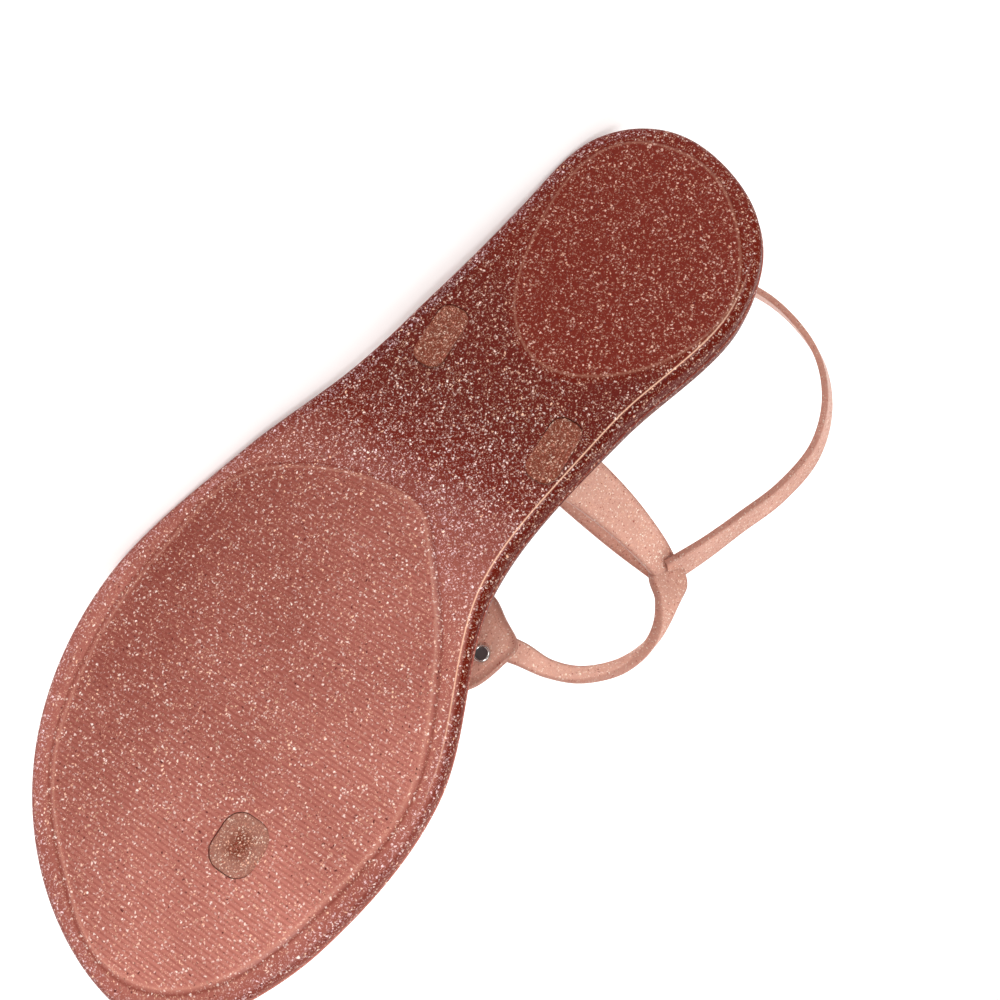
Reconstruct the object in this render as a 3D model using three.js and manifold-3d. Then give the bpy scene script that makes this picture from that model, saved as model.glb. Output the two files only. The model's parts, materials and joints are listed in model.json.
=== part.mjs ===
// Left jelly sandal: a moulded sole with thong, side and ankle straps, lying on its lateral side.
// Shoe frame while modelling, in millimetres: +X from the heel tip to the toe tip, +Y lateral,
// +Z up from the ground. The whole shoe is then laid down on its lateral sole edge and ankle strap.
import * as THREE from 'three';
import { mergeVertices } from 'three/addons/utils/BufferGeometryUtils.js';
import Module from 'manifold-3d';

const wasm = await Module();
wasm.setup();

// Sole
const SOLE_LENGTH = 246;
const BALL_WIDTH = 100;
const HEEL_THICKNESS = 10.5;
const FOREFOOT_THICKNESS = 6.5;
const WEDGE_START = 95;
const WEDGE_END = 150;
const ARCH_RISE = 2.2;
const ARCH_START = 66;
const ARCH_END = 126;
const TOE_SPRING = 2.5;
const TOE_SPRING_START = 205;
const EDGE_RADIUS = 2.4;
const PARTING_RIDGE = 0.35;
const FOOTBED_DISH = 1.2;
const DISH_FULLNESS_ACROSS = 0.7;
const DISH_FULLNESS_ALONG = 0.6;
const PAD_RELIEF = 0.6;
const PAD_MARGIN_STEP = 0.5;
const HEEL_PART_END = 0.35;
const BALL_PART_START = 0.55;
const OUTLINE_STEPS = 34;
const PAD_STEPS = 24;

// Upper
const COLLAR_HEIGHT = 71;
const STRAP_WALL = 1.8;
const SIDE_STRAP_WIDTH = 16;
const COLLAR_STRAP_WIDTH = 8;
const TONGUE_WIDTH = 6.5;
const TONGUE_WALL = 1.4;
const TONGUE_LENGTH = 74;
const TONGUE_HOLE = 2.6;
const TONGUE_HOLE_PITCH = 6.5;
const TONGUE_TIP = 2.5;
const TONGUE_TIP_LIFT = 1;
const TONGUE_SLIP = 4;
const BACKING_GAP_TO_JUNCTION = 29;
const CORD_WIDTH = 4.4;
const CORD_THICKNESS = 3;
const POST_WIDTH = 5.4;
const POST_THICKNESS = 4.6;
const POST_CORNER = 2.1;
const PLATE_LENGTH = 34;
const PLATE_WALL = 2;
const PLATE_STEP = 0.7;
const PLATE_STEP_INSET = 2.2;
const RIM_STEPS = 36;

// Plugs that hold the upper in the sole
const PLUG_WALL = 2.2;
const PLUG_RECESS = 0.3;
const PLUG_WIDTH_TO_CORNER = 2.6;
const TOE_PLUG_LENGTH = 13.4;
const TOE_PLUG_WIDTH = 11.6;
const SIDE_PLUG_LENGTH = 16.4;
const SIDE_PLUG_WIDTH = 8.2;
const POCKET_DEPTH = 6.6;
const CLEARANCE = 0.3;
const OVERSHOOT = 1;

// Buckle and rivets
const BUCKLE_FROM_JUNCTION = 47;
const BUCKLE_LENGTH = 18;
const BUCKLE_WIDTH = 13;
const BUCKLE_WIRE = 1.4;
const BUCKLE_STEPS = 32;
const BAR_HEIGHT = 2.4;
const FRAME_HEIGHT = 4.9;
const TAB_WIDTH = 6;
const TAB_WALL = 0.8;
const TAB_LENGTH = 15.6;
const PRONG_WIRE = 1.1;
const PRONG_HOLE_FROM_BAR = 1.9;
const PRONG_OVERHANG = 1.2;
const PRONG_STEPS = 20;
const TAB_STEPS = 28;
const STRAP_RIVET_FROM_BAR = 13;
const RIVET_SHANK = 2;
const STRAP_RIVET_HEAD = 3.8;
const PLATE_RIVET_HEAD = 4.5;
const RIVET_HEAD_HEIGHT = 0.8;
const RIVET_BORE_SHARE = 0.72;
const RIVET_BORE_DEPTH_SHARE = 0.6;
const SHANK_STEPS = 16;
const HEAD_STEPS = 24;
const BORE_STEPS = 20;

// Fullness of each side at equal angle steps from start to end, as a share of the named width.
const SOLE_OUTLINE = {
  start: { along: 0, across: 0 },
  end: { along: 1, across: 0 },
  rows: [
    { lateral: 0.557, medial: 0.557 },
    { lateral: 0.503, medial: 0.643 },
    { lateral: 0.379, medial: 0.515 },
    { lateral: 0.386, medial: 0.287 },
    { lateral: 0.515, medial: 0.211 },
    { lateral: 0.679, medial: 0.399 },
    { lateral: 0.75, medial: 0.459 },
    { lateral: 0.736, medial: 0.492 },
    { lateral: 0.63, medial: 0.63 },
  ],
};
const FOREFOOT_PAD = {
  start: { along: 0.465, across: 0.155 },
  end: { along: 0.977, across: 0.02 },
  rows: [
    { lateral: 0.542, medial: 0.542 },
    { lateral: 0.586, medial: 0.35 },
    { lateral: 0.48, medial: 0.366 },
    { lateral: 0.463, medial: 0.41 },
    { lateral: 0.455, medial: 0.385 },
    { lateral: 0.385, medial: 0.39 },
    { lateral: 0.41, medial: 0.41 },
  ],
};
const HEEL_PAD = {
  start: { along: 0.019, across: 0 },
  end: { along: 0.29, across: -0.045 },
  rows: [
    { lateral: 0.331, medial: 0.331 },
    { lateral: 0.261, medial: 0.298 },
    { lateral: 0.22, medial: 0.322 },
    { lateral: 0.225, medial: 0.296 },
    { lateral: 0.232, medial: 0.232 },
  ],
};

// Rings of the sole from its underside to the footbed. `inset` is a share of EDGE_RADIUS inwards,
// `from` names the level it is measured from, and `rise` is a share of EDGE_RADIUS above that level.
const SOLE_RINGS = [
  { inset: 1, from: 'bottom', rise: 0 },
  { inset: 0.45, from: 'bottom', rise: 0.14 },
  { inset: 0.12, from: 'bottom', rise: 0.45 },
  { inset: 0, from: 'bottom', rise: 0.9 },
  { inset: 0, from: 'middle', rise: -0.14 },
  { inset: -PARTING_RIDGE / EDGE_RADIUS, from: 'middle', rise: 0 },
  { inset: 0, from: 'middle', rise: 0.14 },
  { inset: 0.08, from: 'top', rise: -0.75 },
  { inset: 0.38, from: 'top', rise: -0.22 },
  { inset: 0.9, from: 'top', rise: 0 },
];

// Straps: along is a share of SOLE_LENGTH, across of BALL_WIDTH, up of COLLAR_HEIGHT, width of the
// strap's own named width. out is the direction that the strap's outer face looks in.
const JUNCTION = { along: 0.361, across: -0.436, up: 0.775 };
const MEDIAL_PLUG = { along: 0.355, across: -0.155 };
const LATERAL_PLUG = { along: 0.308, across: 0.247 };
const TOE_PLUG = { along: 0.822, across: -0.043 };
const MEDIAL_STRAP = [
  { ...MEDIAL_PLUG, up: 0.04, width: 0.9, out: [0, -1, 0] },
  { ...MEDIAL_PLUG, up: 0.1, width: 0.89, out: [0, -1, 0] },
  { along: 0.355, across: -0.156, up: 0.16, width: 0.88, out: [0, -1, 0] },
  { along: 0.35, across: -0.205, up: 0.28, width: 0.83, out: [0, -1, -0.3] },
  { along: 0.349, across: -0.3, up: 0.48, width: 0.72, out: [0, -0.9, -0.5] },
  { along: 0.355, across: -0.395, up: 0.67, width: 0.58, out: [0, -0.9, -0.4] },
  { ...JUNCTION, width: 0.5, out: [0, -0.95, -0.3] },
  { along: 0.368, across: -0.455, up: 0.83, width: 0.44, out: [0.1, -0.95, -0.3] },
];
const LATERAL_STRAP = [
  { ...LATERAL_PLUG, up: 0.02, width: 0.9, out: [0, 1, 0] },
  { ...LATERAL_PLUG, up: 0.1, width: 0.89, out: [0, 1, 0] },
  { along: 0.308, across: 0.246, up: 0.17, width: 0.88, out: [0, 1, 0] },
  { along: 0.313, across: 0.2, up: 0.4, width: 0.8, out: [0, 1, 0.5] },
  { along: 0.33, across: 0, up: 0.66, width: 0.66, out: [0, 0.6, 0.8] },
  { along: 0.348, across: -0.25, up: 0.8, width: 0.55, out: [0, 0, 1] },
  { ...JUNCTION, width: 0.5, out: [0, -0.9, 0.5] },
];
const INSTEP_CORD = [
  { along: 0.345, across: -0.42, up: 0.79, width: 1.5, out: [0, -0.6, -0.8] },
  { along: 0.368, across: -0.45, up: 0.765, width: 2.5, out: [0.1, -0.55, -0.85] },
  { along: 0.392, across: -0.482, up: 0.735, width: 1.5, out: [0.15, -0.6, -0.8] },
  { along: 0.424, across: -0.505, up: 0.704, width: 1, out: [0.2, -0.9, -0.3] },
  { along: 0.45, across: -0.504, up: 0.676, width: 1, out: [0.2, -0.9, 0.4] },
  { along: 0.481, across: -0.477, up: 0.634, width: 1, out: [0.2, -0.5, 0.85] },
  { along: 0.51, across: -0.412, up: 0.577, width: 1, out: [0.1, -0.2, 1] },
  { along: 0.523, across: -0.342, up: 0.528, width: 1.1, out: [0, -0.1, 1] },
  { along: 0.527, across: -0.27, up: 0.465, width: 1.4, out: [0, -0.2, 1] },
  { along: 0.532, across: -0.2, up: 0.459, width: 1.5, out: [0, -0.2, 1] },
];
const TOE_STRAP = [
  { ...TOE_PLUG, up: 0.03, width: 1, out: [1, 0, 0] },
  { ...TOE_PLUG, up: 0.12, width: 1, out: [1, 0, 0] },
  { along: 0.818, across: -0.044, up: 0.2, width: 1, out: [1, 0, 0.5] },
  { along: 0.79, across: -0.055, up: 0.3, width: 1.05, out: [0.5, 0, 1] },
  { along: 0.72, across: -0.09, up: 0.4, width: 1.15, out: [0.15, 0, 1] },
  { along: 0.65, across: -0.125, up: 0.46, width: 1.4, out: [0, -0.1, 1] },
  { along: 0.6, across: -0.128, up: 0.481, width: 1.7, out: [0, -0.2, 1] },
  { along: 0.57, across: -0.128, up: 0.479, width: 1.7, out: [0, -0.2, 1] },
];
const COLLAR_LOOP = [
  { ...JUNCTION },
  { along: 0.317, across: -0.485, up: 0.795 },
  { along: 0.27, across: -0.528, up: 0.817 },
  { along: 0.215, across: -0.573, up: 0.859 },
  { along: 0.15, across: -0.59, up: 0.901 },
  { along: 0.088, across: -0.544, up: 0.93 },
  { along: 0.037, across: -0.438, up: 0.958 },
  { along: 0.004, across: -0.248, up: 0.972 },
  { along: 0.006, across: -0.1, up: 0.986 },
  { along: 0.046, across: 0.043, up: 1 },
  { along: 0.116, across: 0.114, up: 1 },
  { along: 0.182, across: 0.109, up: 0.986 },
  { along: 0.241, across: 0.072, up: 0.958 },
  { along: 0.286, across: -0.006, up: 0.915 },
  { along: 0.315, across: -0.128, up: 0.873 },
  { along: 0.336, across: -0.272, up: 0.831 },
  { ...JUNCTION },
];
const COLLAR_CENTRE = { along: 0.175, across: -0.22 };
// The collar's outer face looks down a little: the lean of its across line, as rise to run.
const COLLAR_TILT = 0.22;
const COLLAR_WIDTHS = [
  { way: 0, width: 1.45 },
  { way: 0.1, width: 1.15 },
  { way: 0.3, width: 0.95 },
  { way: 0.5, width: 1.1 },
  { way: 0.8, width: 1.15 },
  { way: 0.93, width: 1.3 },
  { way: 0.985, width: 1.25 },
  { way: 1, width: 0.7 },
];

// Plate between the cord and the toe strap: distance of its rim from the centre by angle, where
// angle 0 points to the toe and a quarter turn points laterally, as a share of PLATE_LENGTH.
const PLATE_CENTRE = { along: 0.552, across: -0.115, up: 0.483 };
const PLATE_OUT = [0, -0.2, 1];
const PLATE_RIM = [
  { degrees: 0, reach: 0.44 },
  { degrees: 45, reach: 0.38 },
  { degrees: 90, reach: 0.36 },
  { degrees: 135, reach: 0.4 },
  { degrees: 180, reach: 0.46 },
  { degrees: 215, reach: 0.42 },
  { degrees: 245, reach: 0.49 },
  { degrees: 262, reach: 0.42 },
  { degrees: 305, reach: 0.37 },
];
const PLATE_RIVET = { along: 0.548, across: -0.198 };

const JELLY = new THREE.Color(0xc98578);
const STRAP_JELLY = new THREE.Color(0xe5ad99);
const BRASS = new THREE.Color(0xd8c9a2);
const STEEL = new THREE.Color(0xb9b7b4);

function jellyMaterial(color) {
  return new THREE.MeshStandardMaterial({ color, roughness: 0.25, metalness: 0 });
}

function metalMaterial(color) {
  return new THREE.MeshStandardMaterial({ color, roughness: 0.22, metalness: 1 });
}

// Turns a closed geometry into a solid whose faces point out.
function solidOf(geometry) {
  geometry.deleteAttribute('normal');
  geometry.deleteAttribute('uv');
  const merged = mergeVertices(geometry, 1e-4);
  const solid = new wasm.Manifold(new wasm.Mesh({
    numProp: 3,
    vertProperties: new Float32Array(merged.attributes.position.array),
    triVerts: new Uint32Array(merged.index.array),
  }));
  return solid;
}

function geometryOf(solid) {
  const mesh = solid.getMesh();
  const geometry = new THREE.BufferGeometry();
  geometry.setAttribute('position', new THREE.BufferAttribute(new Float32Array(mesh.vertProperties), 3));
  geometry.setIndex(new THREE.BufferAttribute(new Uint32Array(mesh.triVerts), 1));
  return geometry;
}

function unionOf(solids) {
  return solids.reduce((whole, piece) => whole.add(piece));
}

// Builds a closed body from points and triangles, all turned about if their volume is negative.
function bodyFromTriangles(points, triangles) {
  const geometry = new THREE.BufferGeometry();
  geometry.setAttribute('position', new THREE.Float32BufferAttribute(points.flatMap((p) => p.toArray()), 3));
  const volume = triangles.reduce((sum, [a, b, c]) => (
    sum + points[a].dot(new THREE.Vector3().crossVectors(points[b], points[c]))
  ), 0);
  const faces = volume < 0 ? triangles.map(([a, b, c]) => [a, c, b]) : triangles;
  geometry.setIndex(faces.flat());
  return solidOf(geometry);
}

// A smooth value between the rows of a table, at a share of the way through them.
function between(rows, column, share) {
  const curve = new THREE.CatmullRomCurve3(
    rows.map((row, index) => new THREE.Vector3(index, row[column], 0)), false, 'catmullrom', 0.5,
  );
  return curve.getPoint(share).y;
}

function place({ along, across, up = 0 }) {
  return new THREE.Vector3(along * SOLE_LENGTH, across * BALL_WIDTH, up * COLLAR_HEIGHT);
}

function smoothStep(value, from, to) {
  return THREE.MathUtils.smoothstep(value, from, to);
}

// Height of the sole's underside beside the pads.
function bottomAt(x) {
  const middle = (ARCH_START + ARCH_END) / 2;
  const arch = ARCH_RISE * smoothStep(x, ARCH_START, middle) * (1 - smoothStep(x, middle, ARCH_END));
  const beyond = Math.max(0, x - TOE_SPRING_START) / (SOLE_LENGTH - TOE_SPRING_START);
  return PAD_RELIEF + arch + TOE_SPRING * beyond ** 2;
}

// Height of the footbed's rim.
function topAt(x) {
  const beyond = Math.max(0, x - TOE_SPRING_START) / (SOLE_LENGTH - TOE_SPRING_START);
  const share = smoothStep(x, WEDGE_START, WEDGE_END);
  const wedge = THREE.MathUtils.lerp(HEEL_THICKNESS, FOREFOOT_THICKNESS, share);
  return wedge + TOE_SPRING * beyond ** 2;
}

// The two sides of an outline at one angle step, as plan points: its axis point moved to each side
// by the sine of the angle times the fullness.
function outlinePair(outline, step, steps) {
  const start = place(outline.start);
  const end = place(outline.end);
  const axis = end.clone().sub(start);
  const side = new THREE.Vector3(-axis.y, axis.x, 0).normalize();
  const angle = Math.PI * step / steps;
  const centre = start.clone().addScaledVector(axis, (1 - Math.cos(angle)) / 2);
  const reach = (column) => Math.sin(angle) * BALL_WIDTH * between(outline.rows, column, step / steps);
  return {
    lateral: centre.clone().addScaledVector(side, reach('lateral')),
    medial: centre.clone().addScaledVector(side, -reach('medial')),
  };
}

// Plan points around an outline: up the lateral side from start to end and back down the medial one.
function outlineRing(outline, steps) {
  const pairs = Array.from({ length: steps + 1 }, (_, step) => outlinePair(outline, step, steps));
  const back = pairs.slice(1, -1).reverse();
  return [...pairs.map((pair) => pair.lateral), ...back.map((pair) => pair.medial)];
}

function insetRing(ring, inset) {
  return ring.map((point, index) => {
    const before = ring.at(index - 1);
    const after = ring[(index + 1) % ring.length];
    const inwards = new THREE.Vector3(after.y - before.y, before.x - after.x, 0).normalize();
    return point.clone().addScaledVector(inwards, inset);
  });
}

// A slab from stacked rings, closed by strips that run from side to side over both ends.
// levels: { inset, height(point) }; capHeight gives the z of the inner points of each cap.
function slab(outline, steps, levels, columns, bottomCap, topCap) {
  const ring = outlineRing(outline, steps);
  const count = ring.length;
  const points = [];
  const triangles = [];
  levels.forEach(({ inset, height }) => {
    insetRing(ring, inset).forEach((point) => {
      points.push(new THREE.Vector3(point.x, point.y, height(point)));
    });
  });
  for (let level = 0; level < levels.length - 1; level += 1) {
    for (let i = 0; i < count; i += 1) {
      const a = level * count + i;
      const b = level * count + (i + 1) % count;
      triangles.push([a, b, b + count], [a, b + count, a + count]);
    }
  }
  const addCap = (first, capHeight, flip) => {
    const rows = [];
    for (let step = 0; step <= steps; step += 1) {
      const lateral = first + step;
      if (step === 0 || step === steps) {
        rows.push(Array(columns + 1).fill(lateral));
      } else {
        const medial = first + count - step;
        const row = [lateral];
        for (let column = 1; column < columns; column += 1) {
          const point = points[lateral].clone().lerp(points[medial], column / columns);
          point.z = capHeight(point, column / columns, step / steps);
          row.push(points.push(point) - 1);
        }
        row.push(medial);
        rows.push(row);
      }
    }
    for (let step = 0; step < steps; step += 1) {
      for (let column = 0; column < columns; column += 1) {
        const [a, b] = [rows[step][column], rows[step][column + 1]];
        const [c, d] = [rows[step + 1][column], rows[step + 1][column + 1]];
        [[a, b, d], [a, d, c]].filter((t) => new Set(t).size === 3).forEach((t) => {
          triangles.push(flip ? [t[0], t[2], t[1]] : t);
        });
      }
    }
  };
  addCap(0, bottomCap, false);
  addCap((levels.length - 1) * count, topCap, true);
  return bodyFromTriangles(points, triangles);
}

function soleBody() {
  const levelOf = {
    bottom: bottomAt,
    middle: (x) => (bottomAt(x) + topAt(x)) / 2,
    top: topAt,
  };
  const levels = SOLE_RINGS.map(({ inset, from, rise }) => ({
    inset: inset * EDGE_RADIUS,
    height: (point) => levelOf[from](point.x) + rise * EDGE_RADIUS,
  }));
  const dish = (point, share, way) => (
    topAt(point.x) - FOOTBED_DISH
      * Math.sin(Math.PI * share) ** DISH_FULLNESS_ACROSS
      * Math.sin(Math.PI * way) ** DISH_FULLNESS_ALONG
  );
  return slab(SOLE_OUTLINE, OUTLINE_STEPS, levels, 5, (point) => bottomAt(point.x), dish);
}

// A flat tread pad that stands out of the underside by PAD_RELIEF, with a small step at its rim.
function treadPad(outline) {
  const face = (point) => bottomAt(point.x) - PAD_RELIEF;
  const levels = [
    { inset: PAD_MARGIN_STEP, height: face },
    { inset: 0, height: (point) => face(point) + PAD_RELIEF / 2 },
    { inset: 0, height: (point) => face(point) + 2 * PAD_RELIEF },
  ];
  return slab(outline, PAD_STEPS, levels, 2, face, (point) => face(point) + 2 * PAD_RELIEF);
}

// An upright block with a rounded rectangle as its plan, its length along the shoe.
function roundedBlock(centre, length, width, radius, bottom, top) {
  const [a, b] = [length / 2, width / 2];
  const corner = Math.min(radius, 0.999 * a, 0.999 * b);
  const shape = new THREE.Shape();
  shape.absarc(a - corner, b - corner, corner, 0, Math.PI / 2);
  shape.absarc(corner - a, b - corner, corner, Math.PI / 2, Math.PI);
  shape.absarc(corner - a, corner - b, corner, Math.PI, 1.5 * Math.PI);
  shape.absarc(a - corner, corner - b, corner, 1.5 * Math.PI, 2 * Math.PI);
  shape.closePath();
  const block = new THREE.ExtrudeGeometry(shape, {
    depth: top - bottom,
    bevelEnabled: false,
    curveSegments: 4,
  });
  block.translate(centre.x, centre.y, bottom);
  return solidOf(block);
}

// The plug under one strap foot, with the same block grown by the clearance as its pocket.
function plugBlock(at, length, width, grow) {
  const centre = place(at);
  const bottom = bottomAt(centre.x) - PAD_RELIEF + PLUG_RECESS;
  const top = bottom + PLUG_WALL + grow;
  const floor = grow > 0 ? top - POCKET_DEPTH : bottom;
  const corner = width / PLUG_WIDTH_TO_CORNER + grow;
  return roundedBlock(centre, length + 2 * grow, width + 2 * grow, corner, floor, top);
}

function slotBlock(at, length, width) {
  return roundedBlock(
    place(at), length + 2 * CLEARANCE, width + 2 * CLEARANCE, width / 2 + CLEARANCE,
    0, 2 * HEEL_THICKNESS,
  );
}

function makeSole() {
  const body = unionOf([soleBody(), treadPad(FOREFOOT_PAD), treadPad(HEEL_PAD)]);
  const sideSlot = SIDE_STRAP_WIDTH * MEDIAL_STRAP[0].width;
  const cuts = unionOf([
    plugBlock(TOE_PLUG, TOE_PLUG_LENGTH, TOE_PLUG_WIDTH, CLEARANCE),
    plugBlock(MEDIAL_PLUG, SIDE_PLUG_LENGTH, SIDE_PLUG_WIDTH, CLEARANCE),
    plugBlock(LATERAL_PLUG, SIDE_PLUG_LENGTH, SIDE_PLUG_WIDTH, CLEARANCE),
    slotBlock(TOE_PLUG, POST_THICKNESS, POST_WIDTH),
    slotBlock(MEDIAL_PLUG, sideSlot, STRAP_WALL),
    slotBlock(LATERAL_PLUG, sideSlot, STRAP_WALL),
  ]);
  return body.subtract(cuts);
}

// Sweeps a flat section with eased corners along stations of { point, across, out, width, wall }.
// A closed sweep joins its last station to its first, and an open one has flat ends.
function sweep(stations, closed = false) {
  const points = [];
  const triangles = [];
  const sides = 8;
  stations.forEach(({ point, across, out, width, wall }) => {
    const [w, t] = [width / 2, wall / 2];
    const ease = 0.55 * Math.min(w, t);
    const section = [
      [w, ease - t], [w, t - ease], [w - ease, t], [ease - w, t],
      [-w, t - ease], [-w, ease - t], [ease - w, -t], [w - ease, -t],
    ];
    section.forEach(([a, o]) => {
      points.push(point.clone().addScaledVector(across, a).addScaledVector(out, o));
    });
  });
  const spans = closed ? stations.length : stations.length - 1;
  for (let s = 0; s < spans; s += 1) {
    const next = ((s + 1) % stations.length) * sides;
    for (let i = 0; i < sides; i += 1) {
      const j = (i + 1) % sides;
      triangles.push([s * sides + i, s * sides + j, next + j], [s * sides + i, next + j, next + i]);
    }
  }
  const last = (stations.length - 1) * sides;
  for (let i = 1; i < sides - 1 && !closed; i += 1) {
    triangles.push([0, i + 1, i], [last, last + i, last + i + 1]);
  }
  return bodyFromTriangles(points, triangles);
}

// Stations along a table of points, at even steps, with the outer face turned as the table says.
function stationsOf(rows, width, wall, steps) {
  const path = new THREE.CatmullRomCurve3(rows.map(place), false, 'centripetal');
  const outs = new THREE.CatmullRomCurve3(rows.map(({ out }) => new THREE.Vector3(...out).normalize()));
  return Array.from({ length: steps + 1 }, (_, step) => {
    const share = step / steps;
    const along = path.getTangent(share);
    const across = new THREE.Vector3().crossVectors(outs.getPoint(share), along).normalize();
    return {
      point: path.getPoint(share),
      across,
      out: new THREE.Vector3().crossVectors(along, across).normalize(),
      width: width * between(rows, 'width', share),
      wall,
    };
  });
}

// The closed path of the ankle strap, from the junction round the heel and back to it.
const collarPath = new THREE.CatmullRomCurve3(COLLAR_LOOP.map(place), false, 'centripetal');
collarPath.arcLengthDivisions = 600;
const collarLength = collarPath.getLength();

// A frame on the collar: along runs towards the junction's lateral side, out leaves the ankle.
function collarFrame(way, lift = 0, shift = 0) {
  const share = THREE.MathUtils.clamp(way / collarLength, 0, 1);
  const base = collarPath.getPointAt(share);
  const along = collarPath.getTangentAt(share);
  const outwards = base.clone().sub(place(COLLAR_CENTRE)).setZ(0).normalize();
  outwards.z = -COLLAR_TILT;
  const across = new THREE.Vector3().crossVectors(outwards, along).normalize();
  const out = new THREE.Vector3().crossVectors(along, across).normalize();
  const point = base.clone().addScaledVector(out, lift).addScaledVector(across, shift);
  return { point, along, across, out };
}

function valueAt(rows, position, column, key) {
  const next = Math.max(1, rows.findIndex((row) => row[position] >= key));
  const [from, to] = [rows[next - 1], rows[next]];
  const share = smoothStep(key, from[position], to[position]);
  return THREE.MathUtils.lerp(from[column], to[column], share);
}

function backingStrap() {
  const end = collarLength - BACKING_GAP_TO_JUNCTION;
  const steps = 54;
  return sweep(Array.from({ length: steps + 1 }, (_, step) => {
    const share = step / steps;
    return {
      ...collarFrame(share * end),
      width: COLLAR_STRAP_WIDTH * valueAt(COLLAR_WIDTHS, 'way', 'width', share),
      wall: STRAP_WALL,
    };
  }));
}

// Heights above the collar path's own surface, measured outwards from the backing's middle.
const overBacking = (height) => STRAP_WALL / 2 + height;
const tabTop = 2 * (CLEARANCE + TAB_WALL);
const loopRadius = BUCKLE_WIRE / 2 + CLEARANCE + TAB_WALL;
const barWay = collarLength - BUCKLE_FROM_JUNCTION;
const rivetWay = barWay - STRAP_RIVET_FROM_BAR;

// The holed strap from the junction, under the buckle's ends and over its bar.
function tongueStrap() {
  const half = TONGUE_WALL / 2;
  const overTab = overBacking(tabTop + CLEARANCE) + half;
  const overBar = overBacking(BAR_HEIGHT + loopRadius + CLEARANCE) + half;
  const overRivet = overBacking(tabTop + CLEARANCE + RIVET_HEAD_HEIGHT + 2 * CLEARANCE) + half;
  const overRivetWay = BUCKLE_FROM_JUNCTION + STRAP_RIVET_FROM_BAR - RIVET_SHANK;
  const flat = overBacking(CLEARANCE) + half;
  const rows = [
    { way: 0, lift: 0, shift: 0, width: 1.25 },
    { way: BACKING_GAP_TO_JUNCTION - COLLAR_STRAP_WIDTH, lift: flat, shift: 0, width: 1 },
    { way: BACKING_GAP_TO_JUNCTION + STRAP_WALL, lift: flat + CLEARANCE, shift: 0, width: 1 },
    { way: BUCKLE_FROM_JUNCTION - BUCKLE_LENGTH / 2, lift: overTab, shift: 0, width: 1 },
    { way: BUCKLE_FROM_JUNCTION - BUCKLE_WIRE, lift: overBar, shift: 0, width: 1 },
    { way: BUCKLE_FROM_JUNCTION + BUCKLE_WIRE, lift: overBar, shift: 0, width: 1 },
    { way: BUCKLE_FROM_JUNCTION + BUCKLE_LENGTH / 2, lift: overTab, shift: 0, width: 1 },
    { way: overRivetWay, lift: overRivet, shift: -0.3 * TONGUE_SLIP, width: 1 },
    { way: TONGUE_LENGTH - TONGUE_TIP, lift: overRivet + TONGUE_TIP_LIFT, shift: -TONGUE_SLIP, width: 0.98 },
    { way: TONGUE_LENGTH, lift: overRivet + TONGUE_TIP_LIFT, shift: -TONGUE_SLIP, width: 0.5 },
  ];
  const steps = 34;
  const stationAt = (way) => ({
    ...collarFrame(collarLength - way, valueAt(rows, 'way', 'lift', way), valueAt(rows, 'way', 'shift', way)),
    width: TONGUE_WIDTH * valueAt(rows, 'way', 'width', way),
    wall: TONGUE_WALL,
  });
  const stations = Array.from({ length: steps + 1 }, (_, step) => stationAt(TONGUE_LENGTH * step / steps));
  const strap = sweep(stations);
  const prongHole = BUCKLE_FROM_JUNCTION + PRONG_HOLE_FROM_BAR;
  const holes = [-1, 0, 2, 3].map((number) => {
    const seat = stationAt(prongHole + number * TONGUE_HOLE_PITCH);
    return pinAt(seat, TONGUE_HOLE, -2 * TONGUE_WALL, 2 * TONGUE_WALL, 10);
  });
  return strap.subtract(unionOf(holes));
}

// A round pin along the frame's outward direction, between two heights above the frame's point.
function pinAt(frame, diameter, from, to, sides = 12) {
  const pin = new THREE.CylinderGeometry(diameter / 2, diameter / 2, to - from, sides);
  pin.rotateX(Math.PI / 2);
  pin.translate(0, 0, (from + to) / 2);
  const turn = new THREE.Matrix4().makeBasis(frame.along, frame.across, frame.out);
  pin.applyMatrix4(turn.setPosition(frame.point));
  return solidOf(pin);
}

function plateFrame(at = PLATE_CENTRE) {
  const out = new THREE.Vector3(...PLATE_OUT).normalize();
  const across = new THREE.Vector3().crossVectors(out, new THREE.Vector3(1, 0, 0)).normalize();
  const along = new THREE.Vector3().crossVectors(across, out).normalize();
  const centre = place(PLATE_CENTRE);
  const point = place({ ...at, up: 0 });
  point.z = centre.z - (out.x * (point.x - centre.x) + out.y * (point.y - centre.y)) / out.z;
  return { point, along, across, out };
}

function plateBody() {
  const frame = plateFrame();
  const layer = (inset, from, to) => {
    const rim = PLATE_RIM.map(({ degrees, reach }) => {
      const angle = THREE.MathUtils.degToRad(degrees);
      const radius = reach * PLATE_LENGTH - inset;
      return new THREE.Vector2(radius * Math.cos(angle), radius * Math.sin(angle));
    });
    const knots = rim.map((point) => new THREE.Vector3(point.x, point.y, 0));
    const ring = new THREE.CatmullRomCurve3(knots, true).getPoints(RIM_STEPS);
    const shape = new THREE.Shape(ring.slice(0, -1).map((point) => new THREE.Vector2(point.x, point.y)));
    const block = new THREE.ExtrudeGeometry(shape, { depth: to - from, bevelEnabled: false });
    block.translate(0, 0, from);
    const turn = new THREE.Matrix4().makeBasis(frame.along, frame.across, frame.out);
    block.applyMatrix4(turn.setPosition(frame.point));
    return solidOf(block);
  };
  return unionOf([
    layer(0, -PLATE_WALL / 2, PLATE_WALL / 2),
    layer(PLATE_STEP_INSET, -PLATE_WALL / 2 - PLATE_STEP / 2, PLATE_WALL / 2 + PLATE_STEP),
  ]);
}

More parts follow.
